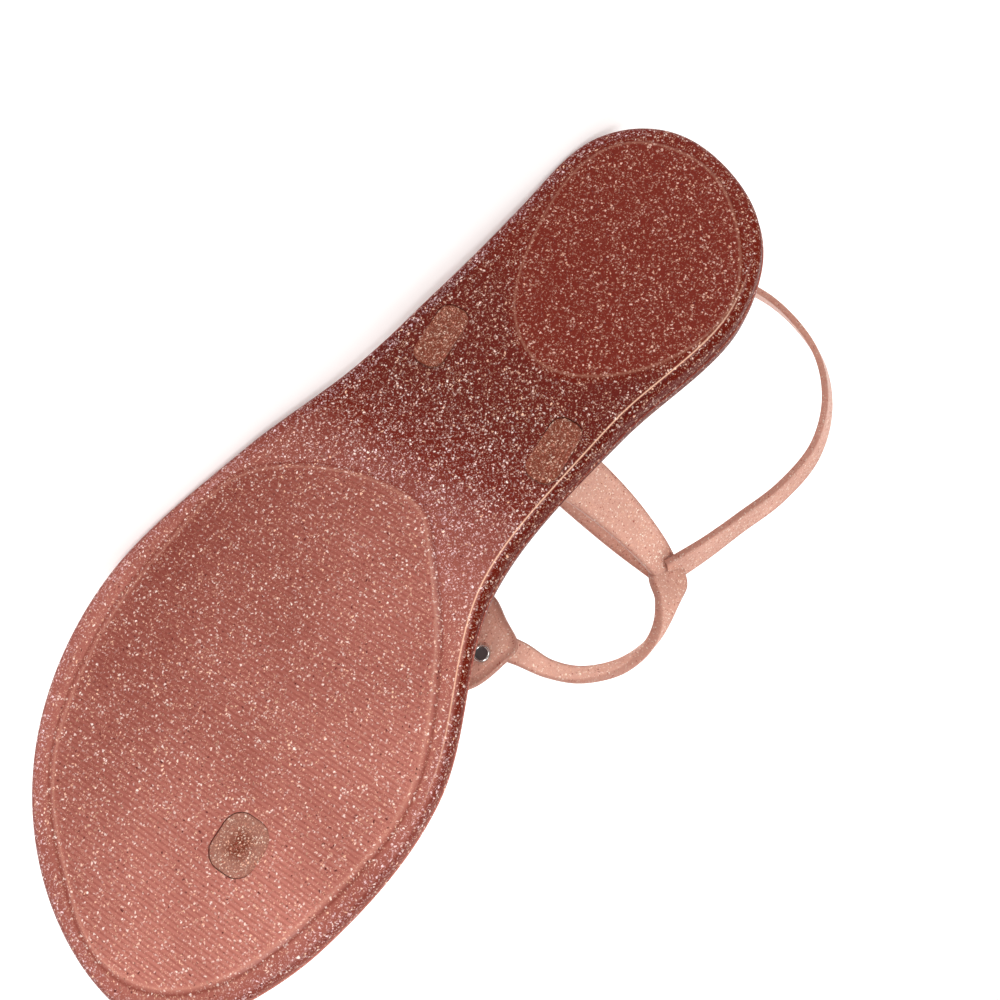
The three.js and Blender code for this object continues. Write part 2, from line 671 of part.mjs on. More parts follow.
function makeUpper() {
  const straps = [
    sweep(stationsOf(MEDIAL_STRAP, SIDE_STRAP_WIDTH, STRAP_WALL, 16)),
    sweep(stationsOf(LATERAL_STRAP, SIDE_STRAP_WIDTH, STRAP_WALL, 18)),
    sweep(stationsOf(INSTEP_CORD, CORD_WIDTH, CORD_THICKNESS, 28)),
    sweep(stationsOf(TOE_STRAP, POST_WIDTH, CORD_THICKNESS, 24)),
    backingStrap(),
    tongueStrap(),
  ];
  const post = place(TOE_PLUG);
  const postBlock = roundedBlock(
    post, POST_THICKNESS, POST_WIDTH, POST_CORNER,
    bottomAt(post.x) + PLUG_WALL / 2, topAt(post.x) + OVERSHOOT,
  );
  const plugs = [
    plugBlock(TOE_PLUG, TOE_PLUG_LENGTH, TOE_PLUG_WIDTH, 0),
    plugBlock(MEDIAL_PLUG, SIDE_PLUG_LENGTH, SIDE_PLUG_WIDTH, 0),
    plugBlock(LATERAL_PLUG, SIDE_PLUG_LENGTH, SIDE_PLUG_WIDTH, 0),
  ];
  const holes = [
    pinAt(plateFrame(PLATE_RIVET), RIVET_SHANK + 2 * CLEARANCE, -2 * PLATE_WALL, 2 * PLATE_WALL),
    pinAt(collarFrame(rivetWay), RIVET_SHANK + 2 * CLEARANCE, -STRAP_WALL, STRAP_WALL),
  ];
  return unionOf([...straps, postBlock, plateBody(), ...plugs]).subtract(unionOf(holes));
}

// A rounded hexagon of wire, arched down to its centre bar.
function makeBuckleFrame() {
  const frame = collarFrame(barWay);
  const [half, side] = [BUCKLE_LENGTH / 2, BUCKLE_WIDTH / 2];
  const quarter = [{ a: 1, c: 0.35 }, { a: 0.8, c: 0.85 }];
  const corners = [
    ...quarter,
    { a: 0, c: 1 },
    ...quarter.map(({ a, c }) => ({ a: -a, c })).reverse(),
    ...quarter.map(({ a, c }) => ({ a: -a, c: -c })),
    { a: 0, c: -1 },
    ...quarter.map(({ a, c }) => ({ a, c: -c })).reverse(),
  ];
  const wireAt = (a, c) => {
    const height = overBacking(THREE.MathUtils.lerp(BAR_HEIGHT, FRAME_HEIGHT, a * a));
    return frame.point.clone().addScaledVector(frame.along, a * half)
      .addScaledVector(frame.across, c * side).addScaledVector(frame.out, height);
  };
  const ring = new THREE.CatmullRomCurve3(corners.map(({ a, c }) => wireAt(a, c)), true, 'catmullrom', 0.6);
  const wire = sweep(Array.from({ length: BUCKLE_STEPS }, (_, step) => {
    const share = step / BUCKLE_STEPS;
    const along = ring.getTangentAt(share);
    const across = new THREE.Vector3().crossVectors(frame.out, along).normalize();
    const out = new THREE.Vector3().crossVectors(along, across).normalize();
    return { point: ring.getPointAt(share), across, out, width: BUCKLE_WIRE, wall: BUCKLE_WIRE };
  }), true);
  const bar = new THREE.CylinderGeometry(BUCKLE_WIRE / 2, BUCKLE_WIRE / 2, BUCKLE_WIDTH, 12);
  const turn = new THREE.Matrix4().makeBasis(frame.along, frame.across, frame.out);
  bar.applyMatrix4(turn.setPosition(wireAt(0, 0)));
  return wire.add(solidOf(bar));
}

// The prong: an eye under the bar, a rise through the strap's hole, and a pin laid over the strap
// that rests on the frame's far end.
function makeProng() {
  const frame = collarFrame(barWay);
  const at = (a, height) => frame.point.clone().addScaledVector(frame.along, -a)
    .addScaledVector(frame.out, overBacking(height));
  const eyeRadius = (BUCKLE_WIRE + PRONG_WIRE) / 2 + CLEARANCE;
  const eyeRows = 8;
  const eye = Array.from({ length: eyeRows + 1 }, (_, row) => {
    const angle = THREE.MathUtils.lerp(0.9 * Math.PI, 2 * Math.PI, row / eyeRows);
    return at(eyeRadius * Math.cos(angle), BAR_HEIGHT + eyeRadius * Math.sin(angle));
  });
  const strapTop = BAR_HEIGHT + loopRadius + CLEARANCE + TONGUE_WALL;
  const restHeight = FRAME_HEIGHT + (BUCKLE_WIRE + PRONG_WIRE) / 2 + CLEARANCE;
  const pin = [
    at(PRONG_HOLE_FROM_BAR, strapTop - TONGUE_WALL),
    at(PRONG_HOLE_FROM_BAR + CLEARANCE, strapTop + CLEARANCE),
    at(2 * PRONG_HOLE_FROM_BAR, strapTop + PRONG_WIRE + 2 * CLEARANCE),
    at(BUCKLE_LENGTH / 2 + PRONG_OVERHANG, restHeight),
  ];
  const path = new THREE.CatmullRomCurve3([...eye, ...pin], false, 'centripetal');
  return sweep(Array.from({ length: PRONG_STEPS + 1 }, (_, step) => {
    const along = path.getTangentAt(step / PRONG_STEPS);
    return {
      point: path.getPointAt(step / PRONG_STEPS),
      across: frame.across,
      out: new THREE.Vector3().crossVectors(along, frame.across).normalize(),
      width: PRONG_WIRE,
      wall: PRONG_WIRE,
    };
  }));
}

// A strip looped round the bar with both ends under the rivet, slotted for the prong's eye.
function makeTab() {
  const frame = collarFrame(barWay);
  const radius = loopRadius - TAB_WALL / 2;
  const lower = CLEARANCE + TAB_WALL / 2;
  const upper = lower + CLEARANCE + TAB_WALL;
  const onCollar = (a, height) => {
    const seat = collarFrame(barWay - a);
    return seat.point.clone().addScaledVector(seat.out, overBacking(height));
  };
  const centre = onCollar(0, BAR_HEIGHT);
  const leg = (height) => [1, 0.66, 0.33].map((share) => onCollar(share * TAB_LENGTH, height));
  const bendRows = 10;
  const bend = Array.from({ length: bendRows + 1 }, (_, row) => {
    const angle = Math.PI * (row / bendRows - 0.5);
    return centre.clone().addScaledVector(frame.along, radius * Math.cos(angle))
      .addScaledVector(frame.out, radius * Math.sin(angle));
  });
  const rows = [...leg(lower), ...bend, ...leg(upper).reverse()];
  const path = new THREE.CatmullRomCurve3(rows, false, 'centripetal');
  const strip = sweep(Array.from({ length: TAB_STEPS + 1 }, (_, step) => {
    const point = path.getPointAt(step / TAB_STEPS);
    const fromBar = Math.max(0, frame.point.clone().sub(point).dot(frame.along));
    const { across } = collarFrame(barWay - fromBar);
    return {
      point,
      across,
      out: new THREE.Vector3().crossVectors(path.getTangentAt(step / TAB_STEPS), across).normalize(),
      width: TAB_WIDTH,
      wall: TAB_WALL,
    };
  }));
  const slotReach = PRONG_HOLE_FROM_BAR + PRONG_WIRE;
  const slot = new THREE.BoxGeometry(2 * slotReach, PRONG_WIRE + 2 * CLEARANCE, 4 * loopRadius);
  const turn = new THREE.Matrix4().makeBasis(frame.along, frame.across, frame.out);
  slot.applyMatrix4(turn.setPosition(centre));
  return strip
    .subtract(solidOf(slot))
    .subtract(pinAt(collarFrame(rivetWay), RIVET_SHANK + 2 * CLEARANCE, 0, overBacking(tabTop) + OVERSHOOT));
}

// A tubular rivet with flat heads on both sides of what it holds; the inner head has a small hollow.
function rivet(frame, head, bottom, top) {
  const reach = RIVET_HEAD_HEIGHT;
  const body = unionOf([
    pinAt(frame, RIVET_SHANK, bottom - reach, top + reach, SHANK_STEPS),
    pinAt(frame, head, bottom - CLEARANCE - reach, bottom - CLEARANCE, HEAD_STEPS),
    pinAt(frame, head, top + CLEARANCE, top + CLEARANCE + reach, HEAD_STEPS),
  ]);
  const mouth = bottom - CLEARANCE - reach;
  const depth = reach * RIVET_BORE_DEPTH_SHARE;
  return body.subtract(pinAt(frame, head * RIVET_BORE_SHARE, mouth - OVERSHOOT, mouth + depth, BORE_STEPS));
}

function makePlateRivet() {
  const half = PLATE_WALL / 2;
  return rivet(plateFrame(PLATE_RIVET), PLATE_RIVET_HEAD, -half - PLATE_STEP / 2, half + PLATE_STEP);
}

function makeStrapRivet() {
  return rivet(collarFrame(rivetWay), STRAP_RIVET_HEAD, -STRAP_WALL / 2, overBacking(tabTop));
}

// How far the shoe turns about its own upright so that ball and heel edge lie in one line.
function edgeTurn() {
  const ring = outlineRing(SOLE_OUTLINE, 4 * OUTLINE_STEPS);
  const aside = (point, turn) => point.y * Math.cos(turn) - point.x * Math.sin(turn);
  const highest = (points, turn) => Math.max(...points.map((point) => aside(point, turn)));
  const heel = ring.filter((p) => p.x < SOLE_LENGTH * HEEL_PART_END);
  const ball = ring.filter((p) => p.x > SOLE_LENGTH * BALL_PART_START);
  return bisect((turn) => highest(ball, turn) - highest(heel, turn), 0, Math.PI / 6);
}

function bisect(excess, from, to) {
  let [low, high] = [from, to];
  for (let round = 0; round < 40; round += 1) {
    const middle = (low + high) / 2;
    if (excess(middle) > 0) low = middle;
    else high = middle;
  }
  return (low + high) / 2;
}

function lowest(geometry, matrix) {
  const point = new THREE.Vector3();
  const position = geometry.attributes.position;
  let low = Infinity;
  for (let i = 0; i < position.count; i += 1) {
    low = Math.min(low, point.fromBufferAttribute(position, i).applyMatrix4(matrix).z);
  }
  return low;
}

function laidDown(turn, lean) {
  const upright = new THREE.Matrix4().makeRotationZ(-turn);
  return new THREE.Matrix4().makeRotationX(-Math.PI / 2 - lean).multiply(upright);
}

const parts = [
  { name: 'sole', solid: makeSole(), material: jellyMaterial(JELLY) },
  { name: 'upper', solid: makeUpper(), material: jellyMaterial(STRAP_JELLY) },
  { name: 'buckle_frame', solid: makeBuckleFrame(), material: metalMaterial(BRASS) },
  { name: 'buckle_prong', solid: makeProng(), material: metalMaterial(BRASS) },
  { name: 'buckle_tab', solid: makeTab(), material: jellyMaterial(STRAP_JELLY) },
  { name: 'rivet_buckle', solid: makeStrapRivet(), material: metalMaterial(STEEL) },
  { name: 'rivet_plate', solid: makePlateRivet(), material: metalMaterial(STEEL) },
];

const shoe = new THREE.Group();
parts.forEach(({ name, solid, material }) => {
  const mesh = new THREE.Mesh(geometryOf(solid), material);
  mesh.name = name;
  shoe.add(mesh);
});

// The shoe leans until its straps touch the floor that its lateral sole edge lies on.
const turn = edgeTurn();
const [soleMesh, ...rest] = shoe.children;
const lean = bisect((angle) => {
  const matrix = laidDown(turn, angle);
  return Math.min(...rest.map((mesh) => lowest(mesh.geometry, matrix))) - lowest(soleMesh.geometry, matrix);
}, -Math.PI / 6, Math.PI / 4);
shoe.setRotationFromMatrix(laidDown(turn, lean));

// The origin is the middle of the bounding box's underside.
shoe.updateMatrixWorld(true);
const box = new THREE.Box3().setFromObject(shoe, true);
const middle = box.getCenter(new THREE.Vector3());
shoe.position.set(-middle.x, -middle.y, -box.min.z);

const sandal = new THREE.Group();
sandal.add(shoe);

export default sandal;
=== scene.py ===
"""Looks of the left jelly sandal: glitter PVC sole and straps, pale brass buckle, steel rivets.

Shapes are worked out in the shoe's own frame in millimetres: x from the heel tip to the toe tip,
y lateral, z up from the ground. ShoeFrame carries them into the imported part's frame in metres.
"""

from __future__ import annotations

import json
import logging
import math
from dataclasses import dataclass, field
from enum import Enum

import bpy
import numpy as np
from mathutils import Matrix


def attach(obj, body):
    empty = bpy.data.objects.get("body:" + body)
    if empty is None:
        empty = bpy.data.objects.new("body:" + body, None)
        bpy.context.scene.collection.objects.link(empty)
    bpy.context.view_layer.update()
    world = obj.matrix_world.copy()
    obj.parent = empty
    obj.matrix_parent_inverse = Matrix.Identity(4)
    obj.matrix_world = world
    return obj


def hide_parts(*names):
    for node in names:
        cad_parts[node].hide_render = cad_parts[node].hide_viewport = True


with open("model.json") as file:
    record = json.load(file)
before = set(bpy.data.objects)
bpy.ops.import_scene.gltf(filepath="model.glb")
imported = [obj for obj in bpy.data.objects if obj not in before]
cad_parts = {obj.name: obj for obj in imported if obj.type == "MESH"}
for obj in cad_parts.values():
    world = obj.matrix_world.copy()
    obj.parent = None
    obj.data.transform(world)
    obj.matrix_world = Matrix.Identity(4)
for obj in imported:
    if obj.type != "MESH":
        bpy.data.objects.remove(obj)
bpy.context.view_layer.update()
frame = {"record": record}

LOG = logging.getLogger("jelly_sandal")
MM = 0.001

# Named sizes of the shoe, in millimetres.
SOLE_LENGTH = 246.0
BALL_WIDTH = 100.0
COLLAR_HEIGHT = 71.0
PAD_RELIEF = 0.6
STRAP_WALL = 1.8
CLEARANCE = 0.3
PLUG_WALL = 2.2
PLUG_RECESS = 0.3
PLUG_WIDTH_TO_CORNER = 2.6
POST_LENGTH = 4.6
POST_WIDTH = 5.4
POST_CORNER = 2.1
PLATE_WALL = 2.0
PLATE_STEP = 0.7
RIVET_HEAD_HEIGHT = 0.8
TAB_WALL = 0.8
BUCKLE_WIRE = 1.4
PRONG_WIRE = 1.1
PRONG_HOLE_FROM_BAR = 1.9
LOOP_RADIUS = BUCKLE_WIRE / 2.0 + CLEARANCE + TAB_WALL

# Places on the shoe: along as a share of SOLE_LENGTH, across of BALL_WIDTH, up of COLLAR_HEIGHT.
JUNCTION = (0.361, -0.436, 0.775)
MEDIAL_PLUG = (0.355, -0.155)
LATERAL_PLUG = (0.308, 0.247)
TOE_PLUG = (0.822, -0.043)

# Middles of the two tread pads in the shoe frame, in millimetres, where the record has its mounts.
FOREFOOT_PAD_PLACE = (165.0, 10.0, 0.0)
HEEL_PAD_PLACE = (36.0, -6.0, 0.0)

# Plugs under the sole and the slots above them: name, place, length and width in millimetres.
PLUGS = (
    ("toe_plug", TOE_PLUG, 13.4, 11.6),
    ("medial_plug", MEDIAL_PLUG, 16.4, 8.2),
    ("lateral_plug", LATERAL_PLUG, 16.4, 8.2),
)
SLOTS = (
    ("toe_slot", TOE_PLUG, POST_LENGTH, POST_WIDTH),
    ("medial_slot", MEDIAL_PLUG, 14.4, STRAP_WALL),
    ("lateral_slot", LATERAL_PLUG, 14.4, STRAP_WALL),
)

# Depth of the plugs' colour at their rims, in the order of PLUGS.
PLUG_DEPTHS = (0.74, 1.02, 1.02)

# Edges that turn more than this, in degrees, stay crisp.
JELLY_CREASE = 38.0
METAL_CREASE = 50.0


class Level(Enum):
    """Heights that the rings of the sole's side are measured from."""

    BOTTOM = "bottom"
    MIDDLE = "middle"
    TOP = "top"


class Metal(Enum):
    """The two metals of the fittings."""

    PALE_BRASS = "pale_brass"
    STEEL = "rivet_steel"


def smooth_step(value: np.ndarray, low: float | np.ndarray, high: float | np.ndarray) -> np.ndarray:
    """Smooth rise from 0 at low to 1 at high: s * s * (3 - 2 * s) with s the clipped share.

    Args:
        value: The numbers to map.
        low: Where the rise starts.
        high: Where it ends.

    Returns:
        Values from 0 to 1, shaped as value.
    """
    share = np.clip((np.asarray(value, float) - low) / (high - low), 0.0, 1.0)
    return share * share * (3.0 - 2.0 * share)


def unit(vectors: np.ndarray) -> np.ndarray:
    """Vectors of length one, along the last axis."""
    return vectors / np.linalg.norm(vectors, axis=-1, keepdims=True)


def hermite(start: np.ndarray, end: np.ndarray, leave: np.ndarray, arrive: np.ndarray,
            share: np.ndarray) -> np.ndarray:
    """Cubic with given ends and end slopes: a + m s + (3(b-a) - 2m - n) s^2 + (2(a-b) + m + n) s^3.

    Args:
        start: Values a at share 0.
        end: Values b at share 1.
        leave: Slopes m at share 0.
        arrive: Slopes n at share 1.
        share: The place s between them.

    Returns:
        The values of the cubic.
    """
    square = 3.0 * (end - start) - 2.0 * leave - arrive
    cube = 2.0 * (start - end) + leave + arrive
    return start + share * (leave + share * (square + share * cube))


def padded_spans(rows: np.ndarray, shares: np.ndarray,
                 closed: bool) -> tuple[np.ndarray, np.ndarray, np.ndarray]:
    """Prepares a table for a curve through its rows, with one more row at each end.

    Args:
        rows: One row for each knot.
        shares: Places along the curve, 0 to 1, each span taking the same share.
        closed: True where the last row joins the first.

    Returns:
        The padded rows, the number of each place's span, and its share of that span.
    """
    if closed:
        padded = np.vstack([rows[-1:], rows, rows[:2]])
        where = (np.asarray(shares, float) % 1.0) * len(rows)
    else:
        padded = np.vstack([2 * rows[0] - rows[1], rows, 2 * rows[-1] - rows[-2]])
        where = np.clip(shares, 0.0, 1.0) * (len(rows) - 1)
    first = np.minimum(where.astype(int), len(padded) - 4)
    return padded, first, (where - first)[:, None]


def even_curve(values: np.ndarray, shares: np.ndarray, tension: float = 0.5,
               closed: bool = False) -> np.ndarray:
    """Catmull-Rom curve with evenly spaced rows: slopes are tension * (next - previous).

    Args:
        values: Rows of the table, one row for each knot.
        shares: Places along the whole curve, 0 to 1.
        tension: Share of the chord between neighbours that a slope takes.
        closed: True where the last row joins the first.

    Returns:
        One row for each share.
    """
    rows = np.asarray(values, float).reshape(len(values), -1)
    padded, first, share = padded_spans(rows, shares, closed)
    before, start, end, after = (padded[first + k] for k in range(4))
    return hermite(start, end, tension * (end - before), tension * (after - start), share)


def chord_curve(values: np.ndarray, shares: np.ndarray, closed: bool = False) -> np.ndarray:
    """Catmull-Rom curve whose knots are spaced by the square root of their distance.

    With d0, d1, d2 the spacings about a span, its first slope is
    d1 * ((b - a) / d0 - (c - a) / (d0 + d1) + (c - b) / d1), and its last one alike.

    Args:
        values: Points of the table.
        shares: Places along the curve, each span taking the same share.
        closed: True where the last point joins the first.

    Returns:
        One point for each share.
    """
    padded, first, share = padded_spans(np.asarray(values, float), shares, closed)
    gaps = np.sqrt(np.linalg.norm(np.diff(padded, axis=0), axis=1))
    gaps = np.where(gaps < 1e-4, 1.0, gaps)
    before, start, end, after = (padded[first + k] for k in range(4))
    d0, d1, d2 = (gaps[first + k][:, None] for k in range(3))
    leave = d1 * ((start - before) / d0 - (end - before) / (d0 + d1) + (end - start) / d1)
    arrive = d1 * ((end - start) / d1 - (after - start) / (d1 + d2) + (after - end) / d2)
    return hermite(start, end, leave, arrive, share)


def eased_value(keys: np.ndarray, values: np.ndarray, at: np.ndarray) -> np.ndarray:
    """Value between the rows of a table, moving from row to row by a smooth step.

    Args:
        keys: Rising places of the rows.
        values: Values of the rows.
        at: Places to read.

    Returns:
        The eased values.
    """
    after = np.clip(np.searchsorted(keys, at, side="left"), 1, len(keys) - 1)
    share = smooth_step(at, keys[after - 1], keys[after])
    return values[after - 1] + share * (values[after] - values[after - 1])


def place(along: float, across: float, up: float = 0.0) -> np.ndarray:
    """A place in the shoe frame from its shares of the named sizes."""
    return np.array([along * SOLE_LENGTH, across * BALL_WIDTH, up * COLLAR_HEIGHT])


@dataclass(frozen=True)
class ShoeFrame:
    """The shoe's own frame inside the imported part's frame.

    The two flat pads give it: both lie at height 0 of the shoe, and their places are known there.
    """

    origin: np.ndarray
    axes: np.ndarray

    @classmethod
    def from_record(cls, record: dict) -> ShoeFrame:
        """Reads the frame from the record's two pad mounts.

        Args:
            record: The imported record.

        Returns:
            The shoe frame, its axes as rows.
        """
        mounts = {mount["name"]: mount for mount in record["mounts"]}
        fore = np.array(mounts["forefoot_pad"]["pos_m"], float) / MM
        heel = np.array(mounts["heel_pad"]["pos_m"], float) / MM
        up = -unit(np.array(mounts["forefoot_pad"]["axis"], float))
        ahead = unit(fore - heel)
        aside = np.cross(up, ahead)
        fore_place = np.array(FOREFOOT_PAD_PLACE)
        heel_place = np.array(HEEL_PAD_PLACE)
        run = unit(fore_place - heel_place)
        x_axis = run[0] * ahead - run[1] * aside
        y_axis = run[1] * ahead + run[0] * aside
        axes = np.array([x_axis, y_axis, up])
        return cls(origin=fore - fore_place @ axes, axes=axes)

    def to_row(self, points: np.ndarray) -> np.ndarray:
        """Points in metres in the part's frame, from millimetres in the shoe's."""
        return (self.origin + np.asarray(points, float) @ self.axes) * MM

    def direction(self, vector: np.ndarray) -> np.ndarray:
        """A direction of the shoe frame in the part's frame."""
        return np.asarray(vector, float) @ self.axes


SHOE = ShoeFrame.from_record(frame["record"])


@dataclass
class Surface:
    """A mesh in the making: points in the shoe frame, faces, and named values at its points."""

    points: np.ndarray
    faces: list
    values: dict[str, np.ndarray] = field(default_factory=dict)

    def only(self, name: str) -> Surface:
        """This surface with one named value alone, nought where it had none."""
        numbers = self.values.get(name, np.zeros(len(self.points)))
        return Surface(self.points, self.faces, {name: numbers})

    def joined(self, *others: Surface) -> Surface:
        """This surface with others beside it, as one mesh.

        Args:
            others: Surfaces that carry the same named values.

        Returns:
            The joined surface.
        """
        surfaces = (self, *others)
        starts = np.cumsum([0] + [len(s.points) for s in surfaces])
        faces = [tuple(int(i) + int(start) for i in f)
                 for s, start in zip(surfaces, starts) for f in s.faces]
        values = {name: np.concatenate([s.values[name] for s in surfaces]) for name in self.values}
        return Surface(np.vstack([s.points for s in surfaces]), faces, values)

    def to_object(self, name: str, sharp_degrees: float = 40.0) -> bpy.types.Object:
        """Makes the Blender object, at the origin and with its place in its mesh.

        Args:
            name: The piece's name.
            sharp_degrees: Edges that turn more than this stay crisp.

        Returns:
            The object, linked to the scene.
        """
        mesh = bpy.data.meshes.new(name)
        mesh.from_pydata(SHOE.to_row(self.points).tolist(), [], self.faces)
        write_values(mesh, self.values)
        mesh.validate()
        made = bpy.data.objects.new(name, mesh)
        bpy.context.scene.collection.objects.link(made)
        finish_mesh(made, sharp_degrees)
        return made


def finish_mesh(piece: bpy.types.Object, sharp_degrees: float = JELLY_CREASE) -> None:
    """Shades the faces smooth and writes the shoe-frame coordinates.

    Args:
        piece: The object, whose mesh is final.
        sharp_degrees: Edges that turn more than this stay crisp.
    """
    mesh = piece.data
    mesh.polygons.foreach_set("use_smooth", np.ones(len(mesh.polygons), bool))
    mesh.set_sharp_from_angle(angle=math.radians(sharp_degrees))
    local = shoe_points(mesh)
    layer = mesh.attributes.get("shoe_mm") or mesh.attributes.new("shoe_mm", "FLOAT_VECTOR", "POINT")
    layer.data.foreach_set("vector", local.astype(np.float32).ravel())
    mesh.update()


def shoe_points(mesh: bpy.types.Mesh) -> np.ndarray:
    """The mesh's points in the shoe frame.

    Args:
        mesh: A mesh in the part's frame, in metres.

    Returns:
        One row for each point, in millimetres.
    """
    flat = np.empty(len(mesh.vertices) * 3, np.float32)
    mesh.vertices.foreach_get("co", flat)
    return (flat.reshape(-1, 3).astype(float) / MM - SHOE.origin) @ SHOE.axes.T


def write_values(mesh: bpy.types.Mesh, values: dict[str, np.ndarray]) -> None:
    """Writes named numbers at the mesh's points, for the finishes to read.

    Args:
        mesh: The mesh.
        values: One number for each point, under each name.
    """
    for name, numbers in values.items():
        layer = mesh.attributes.new(name, "FLOAT", "POINT")
        layer.data.foreach_set("value", numbers.astype(np.float32))


def grid_faces(rows: int, columns: int, wrap_rows: bool = False,
               wrap_columns: bool = True) -> np.ndarray:
    """Four-sided faces of a grid of points numbered row by row.

    Args:
        rows: Number of rows of points.
        columns: Number of points in a row.
        wrap_rows: True where the last row joins the first.
        wrap_columns: True where each row is a closed ring.

    Returns:
        An array of faces, four point numbers each.
    """
    row = np.arange(rows if wrap_rows else rows - 1)[:, None]
    column = np.arange(columns if wrap_columns else columns - 1)[None, :]
    after, beside = (row + 1) % rows, (column + 1) % columns
    a, b = row * columns + column, row * columns + beside
    c, d = after * columns + beside, after * columns + column
    return np.stack([a, b, c, d], axis=-1).reshape(-1, 4)


def outward(points: np.ndarray, faces: list) -> list:
    """Faces turned so that the closed body they bound has a positive volume.

    The volume is the sum over corner triangles of a . (b x c) / 6.

    Args:
        points: The body's points.
        faces: Its faces.

    Returns:
        The faces, all reversed if the volume was negative.
    """
    quads = np.array([f if len(f) == 4 else (*f, f[2]) for f in faces])
    a, b, c, d = (points[quads[:, k]] for k in range(4))
    volume = np.einsum("ij,ij->", a, np.cross(b, c)) + np.einsum("ij,ij->", a, np.cross(c, d))
    return faces if volume > 0 else [tuple(reversed(f)) for f in faces]


def boolean(piece: bpy.types.Object, cutter: bpy.types.Object, operation: str = "DIFFERENCE") -> None:
    """Cuts or joins one closed mesh with another and keeps the result in the piece's mesh.

    Args:
        piece: The object that is changed.
        cutter: The other object, removed afterwards.
        operation: DIFFERENCE or UNION.
    """
    modifier = piece.modifiers.new("cut", "BOOLEAN")
    modifier.object = cutter
    modifier.operation = operation
    modifier.solver = "EXACT"
    bpy.context.view_layer.update()
    graph = bpy.context.evaluated_depsgraph_get()
    result = bpy.data.meshes.new_from_object(piece.evaluated_get(graph))
    piece.modifiers.clear()
    old = piece.data
    piece.data = result
    result.name = old.name
    bpy.data.meshes.remove(old)
    bpy.data.objects.remove(cutter)


@dataclass(frozen=True)
class Outline:
    """A plan outline: each side is the axis point moved aside by the sine of its angle.

    point(angle) = start + (1 - cos angle) / 2 * axis +- side * BALL_WIDTH * sin angle * fullness.
    """

    start: tuple[float, float]
    end: tuple[float, float]
    lateral: tuple[float, ...]
    medial: tuple[float, ...]

    def sides(self, angles: np.ndarray) -> tuple[np.ndarray, np.ndarray]:
        """Both sides of the outline at given angles.

        Args:
            angles: Angles from 0 at the start to pi at the end.

        Returns:
            The lateral and the medial points, at height 0.
        """
        start, end = place(*self.start), place(*self.end)
        axis = end - start
        aside = unit(np.array([-axis[1], axis[0], 0.0]))
        centre = start + np.outer((1.0 - np.cos(angles)) / 2.0, axis)
        reach = np.sin(angles) * BALL_WIDTH
        lateral = reach * even_curve(self.lateral, angles / math.pi)[:, 0]
        medial = reach * even_curve(self.medial, angles / math.pi)[:, 0]
        return centre + lateral[:, None] * aside, centre - medial[:, None] * aside

    def ring(self, steps: int) -> np.ndarray:
        """Points up the lateral side and back down the medial one.

        Args:
            steps: Angle steps from start to end.

        Returns:
            The closed ring of 2 * steps points.
        """
        lateral, medial = self.sides(np.linspace(0.0, math.pi, steps + 1))
        return np.vstack([lateral, medial[1:-1][::-1]])

    def inside_distance(self, points: np.ndarray, steps: int = 150) -> np.ndarray:
        """Distance in plan from the outline, positive inside it.

        Args:
            points: Points in the shoe frame.
            steps: Angle steps of the outline's ring.

        Returns:
            One distance in millimetres for each point.
        """
        ring = self.ring(steps)[:, :2]
        ahead = np.roll(ring, -1, axis=0)
        best = np.full(len(points), 1e9)
        inside = np.zeros(len(points), bool)
        for a, b in zip(ring, ahead):
            edge = b - a
            away = points[:, :2] - a
            share = np.clip(away @ edge / (edge @ edge), 0.0, 1.0)
            best = np.minimum(best, np.linalg.norm(away - share[:, None] * edge, axis=1))
            crosses = (a[1] > points[:, 1]) != (b[1] > points[:, 1])
            if a[1] != b[1]:
                reach = a[0] + (points[:, 1] - a[1]) * edge[0] / edge[1]
                inside ^= crosses & (points[:, 0] < reach)
        return np.where(inside, best, -best)


def inset_ring(ring: np.ndarray, inset: float) -> np.ndarray:
    """A closed plan ring moved inwards by a distance.

    Args:
        ring: Points of the ring.
        inset: Distance inwards in millimetres.

    Returns:
        The moved points.
    """
    run = np.roll(ring, -1, axis=0) - np.roll(ring, 1, axis=0)
    inwards = unit(np.stack([run[:, 1], -run[:, 0], np.zeros(len(ring))], axis=1))
    return ring + inset * inwards


